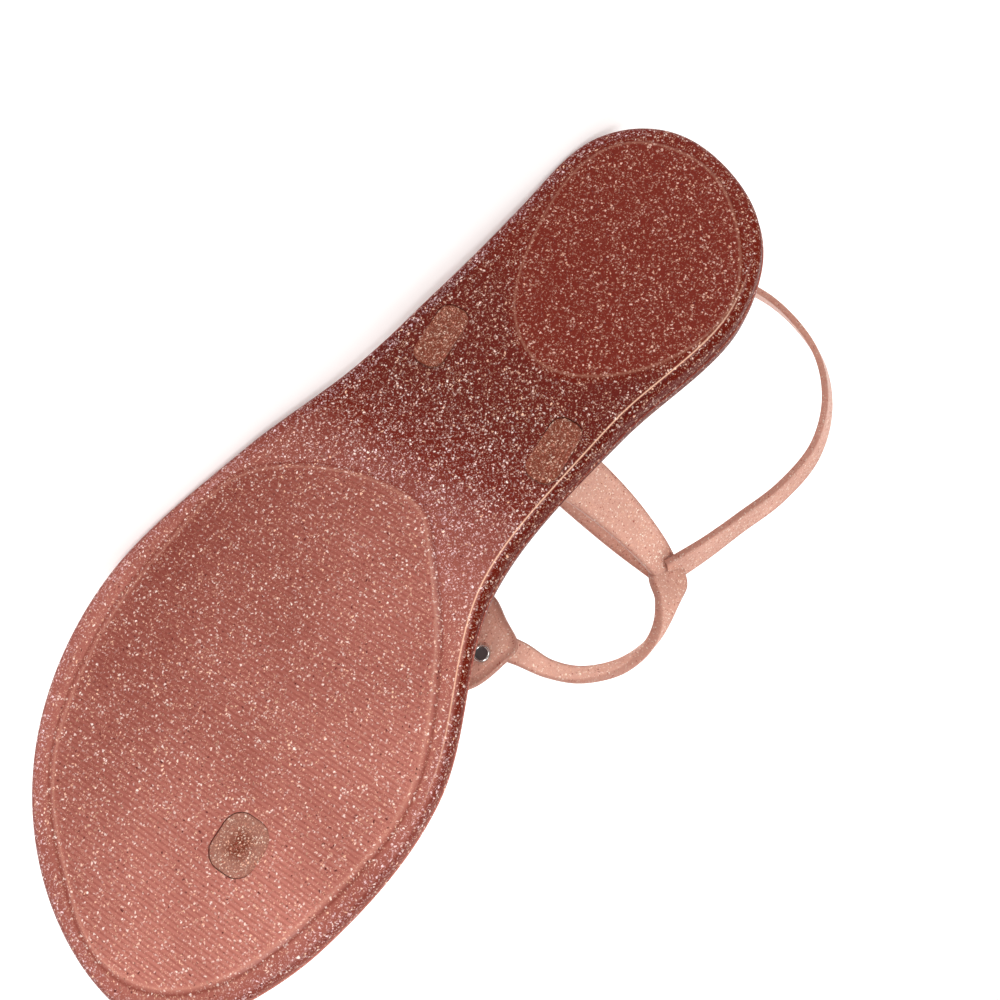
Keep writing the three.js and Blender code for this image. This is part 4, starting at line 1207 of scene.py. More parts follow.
@dataclass
class SoleMoulding:
    """The sole: rounded rim, flat ribbed pads, pockets for the plugs and a dished footbed."""

    sizes: SoleSizes = field(default_factory=SoleSizes)
    shading: SoleShading = field(default_factory=SoleShading)
    outline: Outline = Outline(
        (0.0, 0.0), (1.0, 0.0),
        lateral=(0.557, 0.503, 0.379, 0.386, 0.515, 0.679, 0.75, 0.736, 0.63),
        medial=(0.557, 0.643, 0.515, 0.287, 0.211, 0.399, 0.459, 0.492, 0.63),
    )
    forefoot: Outline = Outline(
        (0.465, 0.155), (0.977, 0.02),
        lateral=(0.542, 0.586, 0.48, 0.463, 0.455, 0.385, 0.41),
        medial=(0.542, 0.35, 0.366, 0.41, 0.385, 0.39, 0.41),
    )
    heel: Outline = Outline(
        (0.019, 0.0), (0.29, -0.045),
        lateral=(0.331, 0.261, 0.22, 0.225, 0.232),
        medial=(0.331, 0.298, 0.322, 0.296, 0.232),
    )
    ring_steps: int = 300
    under_columns: int = 96
    top_columns: int = 34
    under_rise: float = 0.9
    over_inset: float = 0.9
    over_fall: float = 0.75
    parting_width: float = 0.09
    parting_reach: float = 0.2
    pad_slope: tuple[float, float] = (-0.15, 0.75)
    dish_across: float = 0.7
    dish_along: float = 0.6
    cut_below: float = 4.0
    slot_heights: tuple[float, float] = (0.2, 21.0)

    def profile(self) -> list[tuple[float, Level, float]]:
        """Rings of the side: inset, level and rise above it, all in edge radii but the level.

        Returns:
            Rows from the underside to the footbed.
        """
        quarter = math.pi / 2.0
        ridge = self.sizes.ridge / self.sizes.edge_radius
        under = [(1.0 - math.sin(a), Level.BOTTOM, self.under_rise * (1.0 - math.cos(a)))
                 for a in np.linspace(0.0, quarter, 9)]
        parting = [(-ridge * math.exp(-((rise / self.parting_width) ** 2)), Level.MIDDLE, rise)
                   for rise in np.linspace(-self.parting_reach, self.parting_reach, 9)]
        over = [(self.over_inset * (1.0 - math.cos(a)), Level.TOP,
                 -self.over_fall * (1.0 - math.sin(a)))
                for a in np.linspace(0.0, quarter, 8)]
        return under + parting + over

    def under_height(self, points: np.ndarray) -> np.ndarray:
        """Height of the underside: its level less the pads' relief, smoothly stepped at their rims.

        Args:
            points: Points in plan.

        Returns:
            Heights in millimetres.
        """
        level = self.sizes.bottom(points[:, 0])
        for pad in (self.forefoot, self.heel):
            level = level - PAD_RELIEF * smooth_step(pad.inside_distance(points), *self.pad_slope)
        return level

    def footbed_height(self, points: np.ndarray, across: np.ndarray, along: np.ndarray) -> np.ndarray:
        """Height of the footbed: rim - dish * sin(pi across)^0.7 * sin(pi along)^0.6.

        Args:
            points: Points in plan.
            across: Their shares from the lateral side to the medial one.
            along: Their shares from heel to toe.

        Returns:
            Heights in millimetres.
        """
        hollow = (np.sin(math.pi * across) ** self.dish_across
                  * np.sin(math.pi * along) ** self.dish_along)
        return self.sizes.top(points[:, 0]) - self.sizes.dish * hollow

    def surface(self) -> Surface:
        """The closed sole before its pockets are cut.

        Returns:
            The surface.
        """
        ring = self.outline.ring(self.ring_steps)
        count, steps = len(ring), self.ring_steps
        levels = []
        for inset, level, rise in self.profile():
            moved = inset_ring(ring, inset * self.sizes.edge_radius)
            moved[:, 2] = self.sizes.height(level, moved[:, 0]) + rise * self.sizes.edge_radius
            levels.append(moved)
        points = [np.vstack(levels)]
        faces = [tuple(f) for f in grid_faces(len(levels), count).tolist()]
        total = len(points[0])
        for first, columns, is_top in ((0, self.under_columns, False),
                                       ((len(levels) - 1) * count, self.top_columns, True)):
            edge = points[0][first:first + count]
            lateral = edge[1:steps]
            medial = edge[count - np.arange(1, steps)]
            across = np.arange(1, columns) / columns
            inner = lateral[:, None, :] + across[None, :, None] * (medial - lateral)[:, None, :]
            inner = inner.reshape(-1, 3)
            if is_top:
                along = np.repeat(np.arange(1, steps) / steps, columns - 1)
                inner[:, 2] = self.footbed_height(inner, np.tile(across, steps - 1), along)
            else:
                inner[:, 2] = self.under_height(inner)
            index = np.zeros((steps + 1, columns + 1), int)
            index[1:steps, 1:columns] = total + np.arange(len(inner)).reshape(steps - 1, columns - 1)
            index[:, 0] = first + np.arange(steps + 1)
            index[1:steps, columns] = first + count - np.arange(1, steps)
            index[0, :], index[steps, :] = first, first + steps
            a, b = index[:-1, :-1].ravel(), index[:-1, 1:].ravel()
            c, d = index[1:, 1:].ravel(), index[1:, :-1].ravel()
            quads = np.stack([a, b, c, d], axis=1)
            if is_top:
                quads = quads[:, ::-1]
            faces += [tuple(dict.fromkeys(q)) for q in quads.tolist()]
            points.append(inner)
            total += len(inner)
        whole = np.vstack(points)
        return Surface(whole, outward(whole, faces))

    def plug_cutters(self) -> list[bpy.types.Object]:
        """The pockets and slots as closed blocks to cut with.

        Returns:
            One object for each cut.
        """
        rows = []
        for name, at, length, width in PLUGS:
            face = self.sizes.plug_face(at)
            heights = (face - self.cut_below, face + PLUG_WALL + CLEARANCE)
            rows.append((name, at, length, width, width / PLUG_WIDTH_TO_CORNER, heights))
        rows += [(name, at, length, width, width / 2.0, self.slot_heights)
                 for name, at, length, width in SLOTS]
        made = []
        for name, at, length, width, corner, (low, high) in rows:
            block = RoundedBlock(at, length + 2 * CLEARANCE, width + 2 * CLEARANCE, corner + CLEARANCE)
            made.append(block.body(((0.0, low), (0.0, high)), {}).to_object(f"cut_{name}"))
        return made

    def build(self, material: bpy.types.Material) -> bpy.types.Object:
        """Builds, cuts and dresses the sole.

        Args:
            material: The sole's finish.

        Returns:
            The finished piece.
        """
        piece = self.surface().to_object("sole_moulding")
        for cutter in self.plug_cutters():
            boolean(piece, cutter)
        finish_mesh(piece)
        write_values(piece.data, self.shading.values(shoe_points(piece.data), self))
        dress(piece, material, "sole_jelly", "sole")
        return piece


@dataclass
class Stations:
    """Frames along a path, with the width and wall of what is carried along it."""

    point: np.ndarray
    across: np.ndarray
    out: np.ndarray
    width: np.ndarray
    wall: np.ndarray

    def sweep(self, closed: bool = False, corner: float = 0.55, flat_steps: int = 6) -> Surface:
        """Carries a rounded rectangle along the stations.

        A point of the section is across * (s (w - r) + r cos a) + out * (t' (t - r) + r sin a).

        Args:
            closed: True where the last station joins the first.
            corner: Corner radius as a share of the smaller half side.
            flat_steps: Steps across each broad face.

        Returns:
            The closed surface, with `rim` high along its narrow sides.
        """
        quarter = math.pi / 2.0
        arc = np.linspace(0.0, quarter, 5)
        flat = np.linspace(1.0, -1.0, flat_steps + 1)[1:-1]
        ones = np.ones(len(arc))
        outer = np.concatenate([ones, flat, -ones])
        sign_a = np.concatenate([outer, -outer])
        sign_o = np.concatenate([np.ones(len(outer)), -np.ones(len(outer))])
        half_turn = np.concatenate([arc, np.full(len(flat), quarter), arc + quarter])
        angle = np.concatenate([half_turn, half_turn + math.pi])
        half_w, half_t = self.width[:, None] / 2.0, self.wall[:, None] / 2.0
        radius = corner * np.minimum(half_w, half_t)
        a = sign_a * (half_w - radius) + radius * np.cos(angle)
        o = sign_o * (half_t - radius) + radius * np.sin(angle)
        rings = (self.point[:, None, :] + a[..., None] * self.across[:, None, :]
                 + o[..., None] * self.out[:, None, :])
        sides = a.shape[1]
        rim = 1.0 - smooth_step(half_w - np.abs(a), 0.1, 0.9)
        if closed:
            points = rings.reshape(-1, 3)
            faces = [tuple(f) for f in grid_faces(len(rings), sides, wrap_rows=True).tolist()]
            return Surface(points, outward(points, faces), {"rim": rim.ravel()})
        body = stacked(list(rings), {"rim": 1.0})
        body.values["rim"][:rim.size] = rim.ravel()
        return body


def strap_stations(rows: np.ndarray, width: float, wall: float, steps: int) -> Stations:
    """Stations along a strap's table of points.

    Args:
        rows: Columns along, across, up, width share, and the outer face's direction.
        width: The strap's named width.
        wall: Its wall.
        steps: Steps along the strap.

    Returns:
        The stations.
    """
    table = np.asarray(rows, float)
    knots = table[:, :3] * np.array([SOLE_LENGTH, BALL_WIDTH, COLLAR_HEIGHT])
    shares = np.linspace(0.0, 1.0, steps + 1)
    points = chord_curve(knots, shares)
    nudge = 1e-4
    along = unit(chord_curve(knots, np.minimum(shares + nudge, 1.0))
                 - chord_curve(knots, np.maximum(shares - nudge, 0.0)))
    facing = chord_curve(unit(table[:, 4:7]), shares)
    across = unit(np.cross(facing, along))
    out = unit(np.cross(along, across))
    widths = width * even_curve(table[:, 3], shares)[:, 0]
    return Stations(points, across, out, widths, np.full(len(points), wall))


# Tables of the straps: along, across, up, width share, and the outer face's direction.
MEDIAL_STRAP = (
    (0.355, -0.155, 0.04, 0.9, 0, -1, 0),
    (0.355, -0.155, 0.1, 0.89, 0, -1, 0),
    (0.355, -0.156, 0.16, 0.88, 0, -1, 0),
    (0.35, -0.205, 0.28, 0.83, 0, -1, -0.3),
    (0.349, -0.3, 0.48, 0.72, 0, -0.9, -0.5),
    (0.355, -0.395, 0.67, 0.58, 0, -0.9, -0.4),
    (0.361, -0.436, 0.775, 0.5, 0, -0.95, -0.3),
    (0.368, -0.455, 0.83, 0.44, 0.1, -0.95, -0.3),
)
LATERAL_STRAP = (
    (0.308, 0.247, 0.02, 0.9, 0, 1, 0),
    (0.308, 0.247, 0.1, 0.89, 0, 1, 0),
    (0.308, 0.246, 0.17, 0.88, 0, 1, 0),
    (0.313, 0.2, 0.4, 0.8, 0, 1, 0.5),
    (0.33, 0, 0.66, 0.66, 0, 0.6, 0.8),
    (0.348, -0.25, 0.8, 0.55, 0, 0, 1),
    (0.361, -0.436, 0.775, 0.5, 0, -0.9, 0.5),
)
INSTEP_CORD = (
    (0.345, -0.42, 0.79, 1.5, 0, -0.6, -0.8),
    (0.368, -0.45, 0.765, 2.5, 0.1, -0.55, -0.85),
    (0.392, -0.482, 0.735, 1.5, 0.15, -0.6, -0.8),
    (0.424, -0.505, 0.704, 1, 0.2, -0.9, -0.3),
    (0.45, -0.504, 0.676, 1, 0.2, -0.9, 0.4),
    (0.481, -0.477, 0.634, 1, 0.2, -0.5, 0.85),
    (0.51, -0.412, 0.577, 1, 0.1, -0.2, 1),
    (0.523, -0.342, 0.528, 1.1, 0, -0.1, 1),
    (0.527, -0.27, 0.465, 1.4, 0, -0.2, 1),
    (0.532, -0.2, 0.459, 1.5, 0, -0.2, 1),
)
TOE_STRAP = (
    (0.822, -0.043, 0.03, 1, 1, 0, 0),
    (0.822, -0.043, 0.12, 1, 1, 0, 0),
    (0.818, -0.044, 0.2, 1, 1, 0, 0.5),
    (0.79, -0.055, 0.3, 1.05, 0.5, 0, 1),
    (0.72, -0.09, 0.4, 1.15, 0.15, 0, 1),
    (0.65, -0.125, 0.46, 1.4, 0, -0.1, 1),
    (0.6, -0.128, 0.481, 1.7, 0, -0.2, 1),
    (0.57, -0.128, 0.479, 1.7, 0, -0.2, 1),
)
COLLAR_LOOP = (
    JUNCTION,
    (0.317, -0.485, 0.795), (0.27, -0.528, 0.817), (0.215, -0.573, 0.859), (0.15, -0.59, 0.901),
    (0.088, -0.544, 0.93), (0.037, -0.438, 0.958), (0.004, -0.248, 0.972), (0.006, -0.1, 0.986),
    (0.046, 0.043, 1), (0.116, 0.114, 1), (0.182, 0.109, 0.986), (0.241, 0.072, 0.958),
    (0.286, -0.006, 0.915), (0.315, -0.128, 0.873), (0.336, -0.272, 0.831),
    JUNCTION,
)
COLLAR_WIDTHS = (
    (0, 1.45), (0.1, 1.15), (0.3, 0.95), (0.5, 1.1), (0.8, 1.15), (0.93, 1.3), (0.985, 1.25), (1, 0.7),
)


@dataclass(frozen=True)
class Stake:
    """A point with its three directions, on which round things stand, or a row of such points."""

    point: np.ndarray
    along: np.ndarray
    across: np.ndarray
    out: np.ndarray

    def single(self, index: int = 0) -> Stake:
        """One stake out of a row."""
        return Stake(self.point[index], self.along[index], self.across[index], self.out[index])


@dataclass
class AnkleLoop:
    """The closed path of the ankle strap, from the junction round the heel and back."""

    centre: tuple[float, float] = (0.175, -0.22)
    tilt: float = 0.22
    strap_width: float = 8.0
    tongue_width: float = 6.5
    tongue_wall: float = 1.4
    tongue_length: float = 74.0
    backing_gap: float = 29.0
    bar_from_junction: float = 47.0
    buckle_length: float = 18.0
    bar_height: float = 2.4
    hole: float = 2.6
    hole_pitch: float = 6.5
    rivet_from_bar: float = 13.0
    before_rivet: float = 2.0
    beside_rivet: float = -1.2
    tip_round: float = 2.5
    tip_lift: float = 1.0
    tip_shift: float = -4.0

    def __post_init__(self) -> None:
        """Samples the path densely and measures it."""
        knots = np.array(COLLAR_LOOP) * np.array([SOLE_LENGTH, BALL_WIDTH, COLLAR_HEIGHT])
        self.samples = chord_curve(knots, np.linspace(0.0, 1.0, 6001))
        steps = np.linalg.norm(np.diff(self.samples, axis=0), axis=1)
        self.ways = np.concatenate([[0.0], np.cumsum(steps)])
        self.length = float(self.ways[-1])

    @property
    def bar_way(self) -> float:
        """Way along the loop of the buckle's bar."""
        return self.length - self.bar_from_junction

    @property
    def rivet_way(self) -> float:
        """Way along the loop of the strap rivet."""
        return self.bar_way - self.rivet_from_bar

    def read(self, way: np.ndarray) -> np.ndarray:
        """Points of the path, one for each way along it in millimetres."""
        return np.stack([np.interp(way, self.ways, self.samples[:, k]) for k in range(3)], axis=1)

    def frames(self, way: np.ndarray | float, lift: np.ndarray | float = 0.0,
               shift: np.ndarray | float = 0.0) -> Stake:
        """Frames on the loop: along runs on, out leaves the ankle, and across lies in the strap.

        Args:
            way: Ways along the loop in millimetres.
            lift: Distances outwards.
            shift: Distances across.

        Returns:
            A row of stakes.
        """
        way = np.clip(np.atleast_1d(np.asarray(way, float)), 0.0, self.length)
        base = self.read(way)
        ahead = self.read(np.minimum(way + 0.2, self.length))
        along = unit(ahead - self.read(np.maximum(way - 0.2, 0.0)))
        away = base - place(*self.centre)
        away[:, 2] = 0.0
        away = unit(away)
        away[:, 2] = -self.tilt
        across = unit(np.cross(away, along))
        out = unit(np.cross(along, across))
        lift = np.broadcast_to(lift, way.shape)[:, None]
        shift = np.broadcast_to(shift, way.shape)[:, None]
        return Stake(base + lift * out + shift * across, along, across, out)

    def backing(self) -> Stations:
        """The broad strap from the junction round the heel to the end behind the buckle.

        Returns:
            Its stations.
        """
        share = np.linspace(0.0, 1.0, 181)
        found = self.frames(share * (self.length - self.backing_gap))
        keys, values = np.array(COLLAR_WIDTHS, float).T
        width = self.strap_width * eased_value(keys, values, share)
        wall = np.full(len(share), STRAP_WALL)
        return Stations(found.point, found.across, found.out, width, wall)

    def above(self, height: float) -> float:
        """A height above the backing's outer face, measured from its middle."""
        return STRAP_WALL / 2.0 + height

    def tongue_table(self) -> np.ndarray:
        """The holed strap's table: it rises over the tab, the bar and the rivet.

        Returns:
            Rows of way from the junction, lift, shift and width share.
        """
        half = self.tongue_wall / 2.0
        tab_top = 2.0 * (CLEARANCE + TAB_WALL)
        over_tab = self.above(tab_top + CLEARANCE) + half
        over_bar = self.above(self.bar_height + LOOP_RADIUS + CLEARANCE) + half
        over_rivet = self.above(tab_top + CLEARANCE + RIVET_HEAD_HEIGHT + 2 * CLEARANCE) + half
        over_tip = over_rivet + self.tip_lift
        flat = self.above(CLEARANCE) + half
        bar, half_buckle = self.bar_from_junction, self.buckle_length / 2.0
        return np.array([
            (0.0, 0.0, 0.0, 1.25),
            (self.backing_gap - self.strap_width, flat, 0.0, 1.0),
            (self.backing_gap + STRAP_WALL, flat + CLEARANCE, 0.0, 1.0),
            (bar - half_buckle, over_tab, 0.0, 1.0),
            (bar - BUCKLE_WIRE, over_bar, 0.0, 1.0),
            (bar + BUCKLE_WIRE, over_bar, 0.0, 1.0),
            (bar + half_buckle, over_tab, 0.0, 1.0),
            (bar + self.rivet_from_bar - self.before_rivet, over_rivet, self.beside_rivet, 1.0),
            (self.tongue_length - self.tip_round, over_tip, self.tip_shift, 0.98),
            (self.tongue_length, over_tip, self.tip_shift, 0.5),
        ])

    def tongue_frames(self, way: np.ndarray) -> Stake:
        """Frames of the holed strap, one for each way from the junction in millimetres."""
        keys, lift, shift, _ = self.tongue_table().T
        return self.frames(self.length - way, eased_value(keys, lift, way),
                           eased_value(keys, shift, way))

    def tongue(self) -> Stations:
        """The holed strap from the junction through the buckle.

        Returns:
            Its stations.
        """
        way = np.linspace(0.0, self.tongue_length, 150)
        found = self.tongue_frames(way)
        keys, _, _, share = self.tongue_table().T
        width = self.tongue_width * eased_value(keys, share, way)
        wall = np.full(len(way), self.tongue_wall)
        return Stations(found.point, found.across, found.out, width, wall)

    def hole_pins(self) -> list[Surface]:
        """Round pins that cut the strap's holes, the prong's own hole left to the prong.

        Returns:
            One pin for each hole.
        """
        first = self.bar_from_junction + PRONG_HOLE_FROM_BAR
        ways = first + self.hole_pitch * np.array([-1.0, 0.0, 2.0, 3.0])
        found = self.tongue_frames(ways)
        radius = self.hole / 2.0
        profile = ((radius, -3.0), (radius, 3.0))
        return [turned(found.single(k), profile, 32) for k in range(len(ways))]


def turned(stake: Stake, profile: tuple[tuple[float, float], ...], sides: int,
           hollow: tuple[float, ...] | None = None) -> Surface:
    """A body of revolution about the stake's outward direction.

    Its point is stake + r (along cos a + across sin a) + out h for each row r, h of the profile.

    Args:
        stake: Where it stands.
        profile: Rows of radius and height, from the foot to the head.
        sides: Points round the axis.
        hollow: A value for each row, for the dark of a hollow.

    Returns:
        The closed surface.
    """
    angle = np.linspace(0.0, 2.0 * math.pi, sides, endpoint=False)
    ring = np.cos(angle)[:, None] * stake.along + np.sin(angle)[:, None] * stake.across
    rings = [stake.point + radius * ring + height * stake.out for radius, height in profile]
    body = stacked(rings, {"rim": 0.0, "hollow": 0.0})
    if hollow is not None:
        numbers = np.repeat(np.array(hollow, float), sides)
        body.values["hollow"] = np.concatenate([numbers, [hollow[0], hollow[-1]]])
    return body


@dataclass
class OrnamentPlate:
    """The small plate between the cord and the toe strap, with a raised middle."""

    centre: tuple[float, float, float] = (0.552, -0.115, 0.483)
    facing: tuple[float, float, float] = (0.0, -0.2, 1.0)
    length: float = 34.0
    step_inset: float = 2.2
    middle_inset: float = 9.0
    edge: float = 0.12
    soft: float = 0.4
    rivet_at: tuple[float, float] = (0.548, -0.198)
    rim: tuple[tuple[float, float], ...] = (
        (0, 0.44), (45, 0.38), (90, 0.36), (135, 0.4), (180, 0.46),
        (215, 0.42), (245, 0.49), (262, 0.42), (305, 0.37),
    )

    def stake(self, at: tuple[float, float] | None = None) -> Stake:
        """The plate's frame at its centre or at another place in its plane.

        Args:
            at: Shares along and across, or None for the centre.

        Returns:
            The frame.
        """
        out = unit(np.array(self.facing))
        across = unit(np.cross(out, np.array([1.0, 0.0, 0.0])))
        along = unit(np.cross(across, out))
        middle = place(*self.centre)
        point = middle if at is None else place(*at)
        lift = (out[0] * (point[0] - middle[0]) + out[1] * (point[1] - middle[1])) / out[2]
        return Stake(np.array([point[0], point[1], middle[2] - lift]), along, across, out)

    def profile(self) -> tuple[tuple[float, float], ...]:
        """The plate's rows of inset from the rim and height from its middle.

        The rim is rounded by `edge` and `soft`, and both faces step up towards a crowned middle.

        Returns:
            Rows from the middle of the hidden face to that of the shown one.
        """
        half, inset = PLATE_WALL / 2.0, self.step_inset
        edge, soft = self.edge, self.soft
        below, above = -half - PLATE_STEP / 2.0, half + PLATE_STEP
        return (
            (self.middle_inset, below), (inset + 0.5, below), (inset + 0.1, below + edge),
            (inset, -half), (soft, -half), (edge, -half + edge), (0.0, -half + soft),
            (0.0, half - soft), (edge, half - edge), (soft, half), (inset - 0.1, half),
            (inset, half + edge), (inset + 0.05, above - 0.25), (inset + 0.35, above),
            (inset + 4.0, above), (self.middle_inset, above),
        )

    def surface(self) -> Surface:
        """The plate through its stacked rims.

        Returns:
            The closed surface, with `rim` high along its edge.
        """
        stake = self.stake()
        degrees, reach = np.array(self.rim, float).T
        radius, angle = reach * self.length, np.radians(degrees)
        knots = np.stack([radius * np.cos(angle), radius * np.sin(angle), np.zeros(len(radius))],
                         axis=1)
        ring = chord_curve(knots, np.linspace(0.0, 1.0, 144, endpoint=False), closed=True)
        length = np.linalg.norm(ring, axis=1, keepdims=True)
        rings = []
        for inwards, height in self.profile():
            flat = ring * (1.0 - inwards / length)
            rings.append(stake.point + flat[:, :1] * stake.along + flat[:, 1:2] * stake.across
                         + height * stake.out)
        body = stacked(rings, {"rim": 0.0})
        near_rim = np.array([float(inwards < 0.5) for inwards, _ in self.profile()])
        body.values["rim"] = np.concatenate([np.repeat(near_rim, len(ring)), [0.0, 0.0]])
        return body


@dataclass
class UpperMoulding:
    """The straps, cord, plate, thong post and plugs, moulded in one."""

    loop: AnkleLoop
    plate: OrnamentPlate
    sole: SoleSizes
    side_width: float = 16.0
    cord: tuple[float, float] = (4.4, 3.0)
    post: tuple[float, float] = (POST_WIDTH, 3.0)
    plug_spread: float = 0.2
    thin_depth: float = 0.05
    junction_depth: float = 0.12
    junction_reach: tuple[float, float] = (4.0, 13.0)
    plug_heights: tuple[float, float] = (2.4, 5.0)
    plug_reach: float = 10.0
    plug_middle_depth: float = 0.35
    strap_sparkle: float = 0.3
    plug_dullness: float = 0.02

    def plugs(self) -> list[Surface]:
        """The plugs, each with a shallow groove inside its rim and a soft hollow at its middle.

        Returns:
            One closed surface for each plug.
        """
        made = []
        for _, at, length, width in PLUGS:
            face = self.sole.plug_face(at)
            top = face + PLUG_WALL
            block = RoundedBlock(at, length, width, width / PLUG_WIDTH_TO_CORNER)
            # Rows of inset and height, from the middle of the shown face to that of the hidden one.
            profile = (
                (width * 0.42, face + 0.45), (width * 0.3, face + 0.4), (width * 0.2, face + 0.3),
                (1.75, face + 0.3), (1.5, face + 0.22), (1.25, face + 0.03), (1.0, face),
                (0.15, face), (-0.12, face + 0.08), (-self.plug_spread, face + 0.25),
                (-self.plug_spread, top - 0.1), (0.1, top), (width * 0.4, top),
            )
            made.append(block.body(profile, {"rim": 0.0}))
        return made

    def post_block(self) -> Surface:
        """The thong post inside the sole.

        Returns:
            The closed surface.
        """
        x = place(*TOE_PLUG)[:1]
        low = float(self.sole.bottom(x)[0]) + PLUG_WALL / 2.0
        high = float(self.sole.top(x)[0]) + 1.0
        block = RoundedBlock(TOE_PLUG, POST_LENGTH, POST_WIDTH, POST_CORNER)
        return block.body(((0.0, low), (0.0, high)), {"rim": 0.0})

    def build(self, material: bpy.types.Material) -> bpy.types.Object:
        """Builds and dresses the upper.

        Args:
            material: The straps' finish.

        Returns:
            The finished piece.
        """
        tongue = self.loop.tongue().sweep().to_object("tongue_strap")
        for number, pin in enumerate(self.loop.hole_pins()):
            boolean(tongue, pin.to_object(f"cut_hole_{number}"))
        bodies = [
            strap_stations(MEDIAL_STRAP, self.side_width, STRAP_WALL, 110).sweep(flat_steps=12),
            strap_stations(LATERAL_STRAP, self.side_width, STRAP_WALL, 130).sweep(flat_steps=12),
            strap_stations(INSTEP_CORD, *self.cord, 150).sweep(corner=0.75),
            strap_stations(TOE_STRAP, *self.post, 130).sweep(corner=0.75),
            self.loop.backing().sweep(flat_steps=8),
            self.plate.surface(), self.post_block(), *self.plugs(),
        ]
        piece = bodies[0].joined(*bodies[1:]).to_object("upper_moulding")
        join_objects(piece, tongue)
        finish_mesh(piece)
        write_values(piece.data, self.values(shoe_points(piece.data)))
        dress(piece, material, "strap_jelly", "upper")
        return piece

    def values(self, points: np.ndarray) -> dict[str, np.ndarray]:
        """Depth of colour and sparkle: the sunk plugs and the thick junction are deeper.

        Args:
            points: Points of the upper in the shoe frame.

        Returns:
            One number for each point, under each name.
        """
        low = 1.0 - smooth_step(points[:, 2], *self.plug_heights)
        near = np.linalg.norm(points - place(*JUNCTION), axis=1)
        thick = 1.0 - smooth_step(near, *self.junction_reach)
        depth = self.thin_depth + self.junction_depth * thick
        for (_, at, _, width), share in zip(PLUGS, PLUG_DEPTHS):
            away = np.linalg.norm(points[:, :2] - place(*at)[:2], axis=1)
            middle = 1.0 - smooth_step(away, 0.1 * width, 0.42 * width)
            here = (low > 0.5) & (away < self.plug_reach)
            depth = np.where(here, share + self.plug_middle_depth * middle, depth)
        return {"depth": depth, "sparkle": self.strap_sparkle - self.plug_dullness * low}


def join_objects(piece: bpy.types.Object, other: bpy.types.Object) -> None:
    """Joins another object's mesh into a piece.

    Args:
        piece: The object that stays.
        other: The object that goes.
    """
    with bpy.context.temp_override(active_object=piece, object=piece,
                                   selected_editable_objects=[piece, other]):
        bpy.ops.object.join()


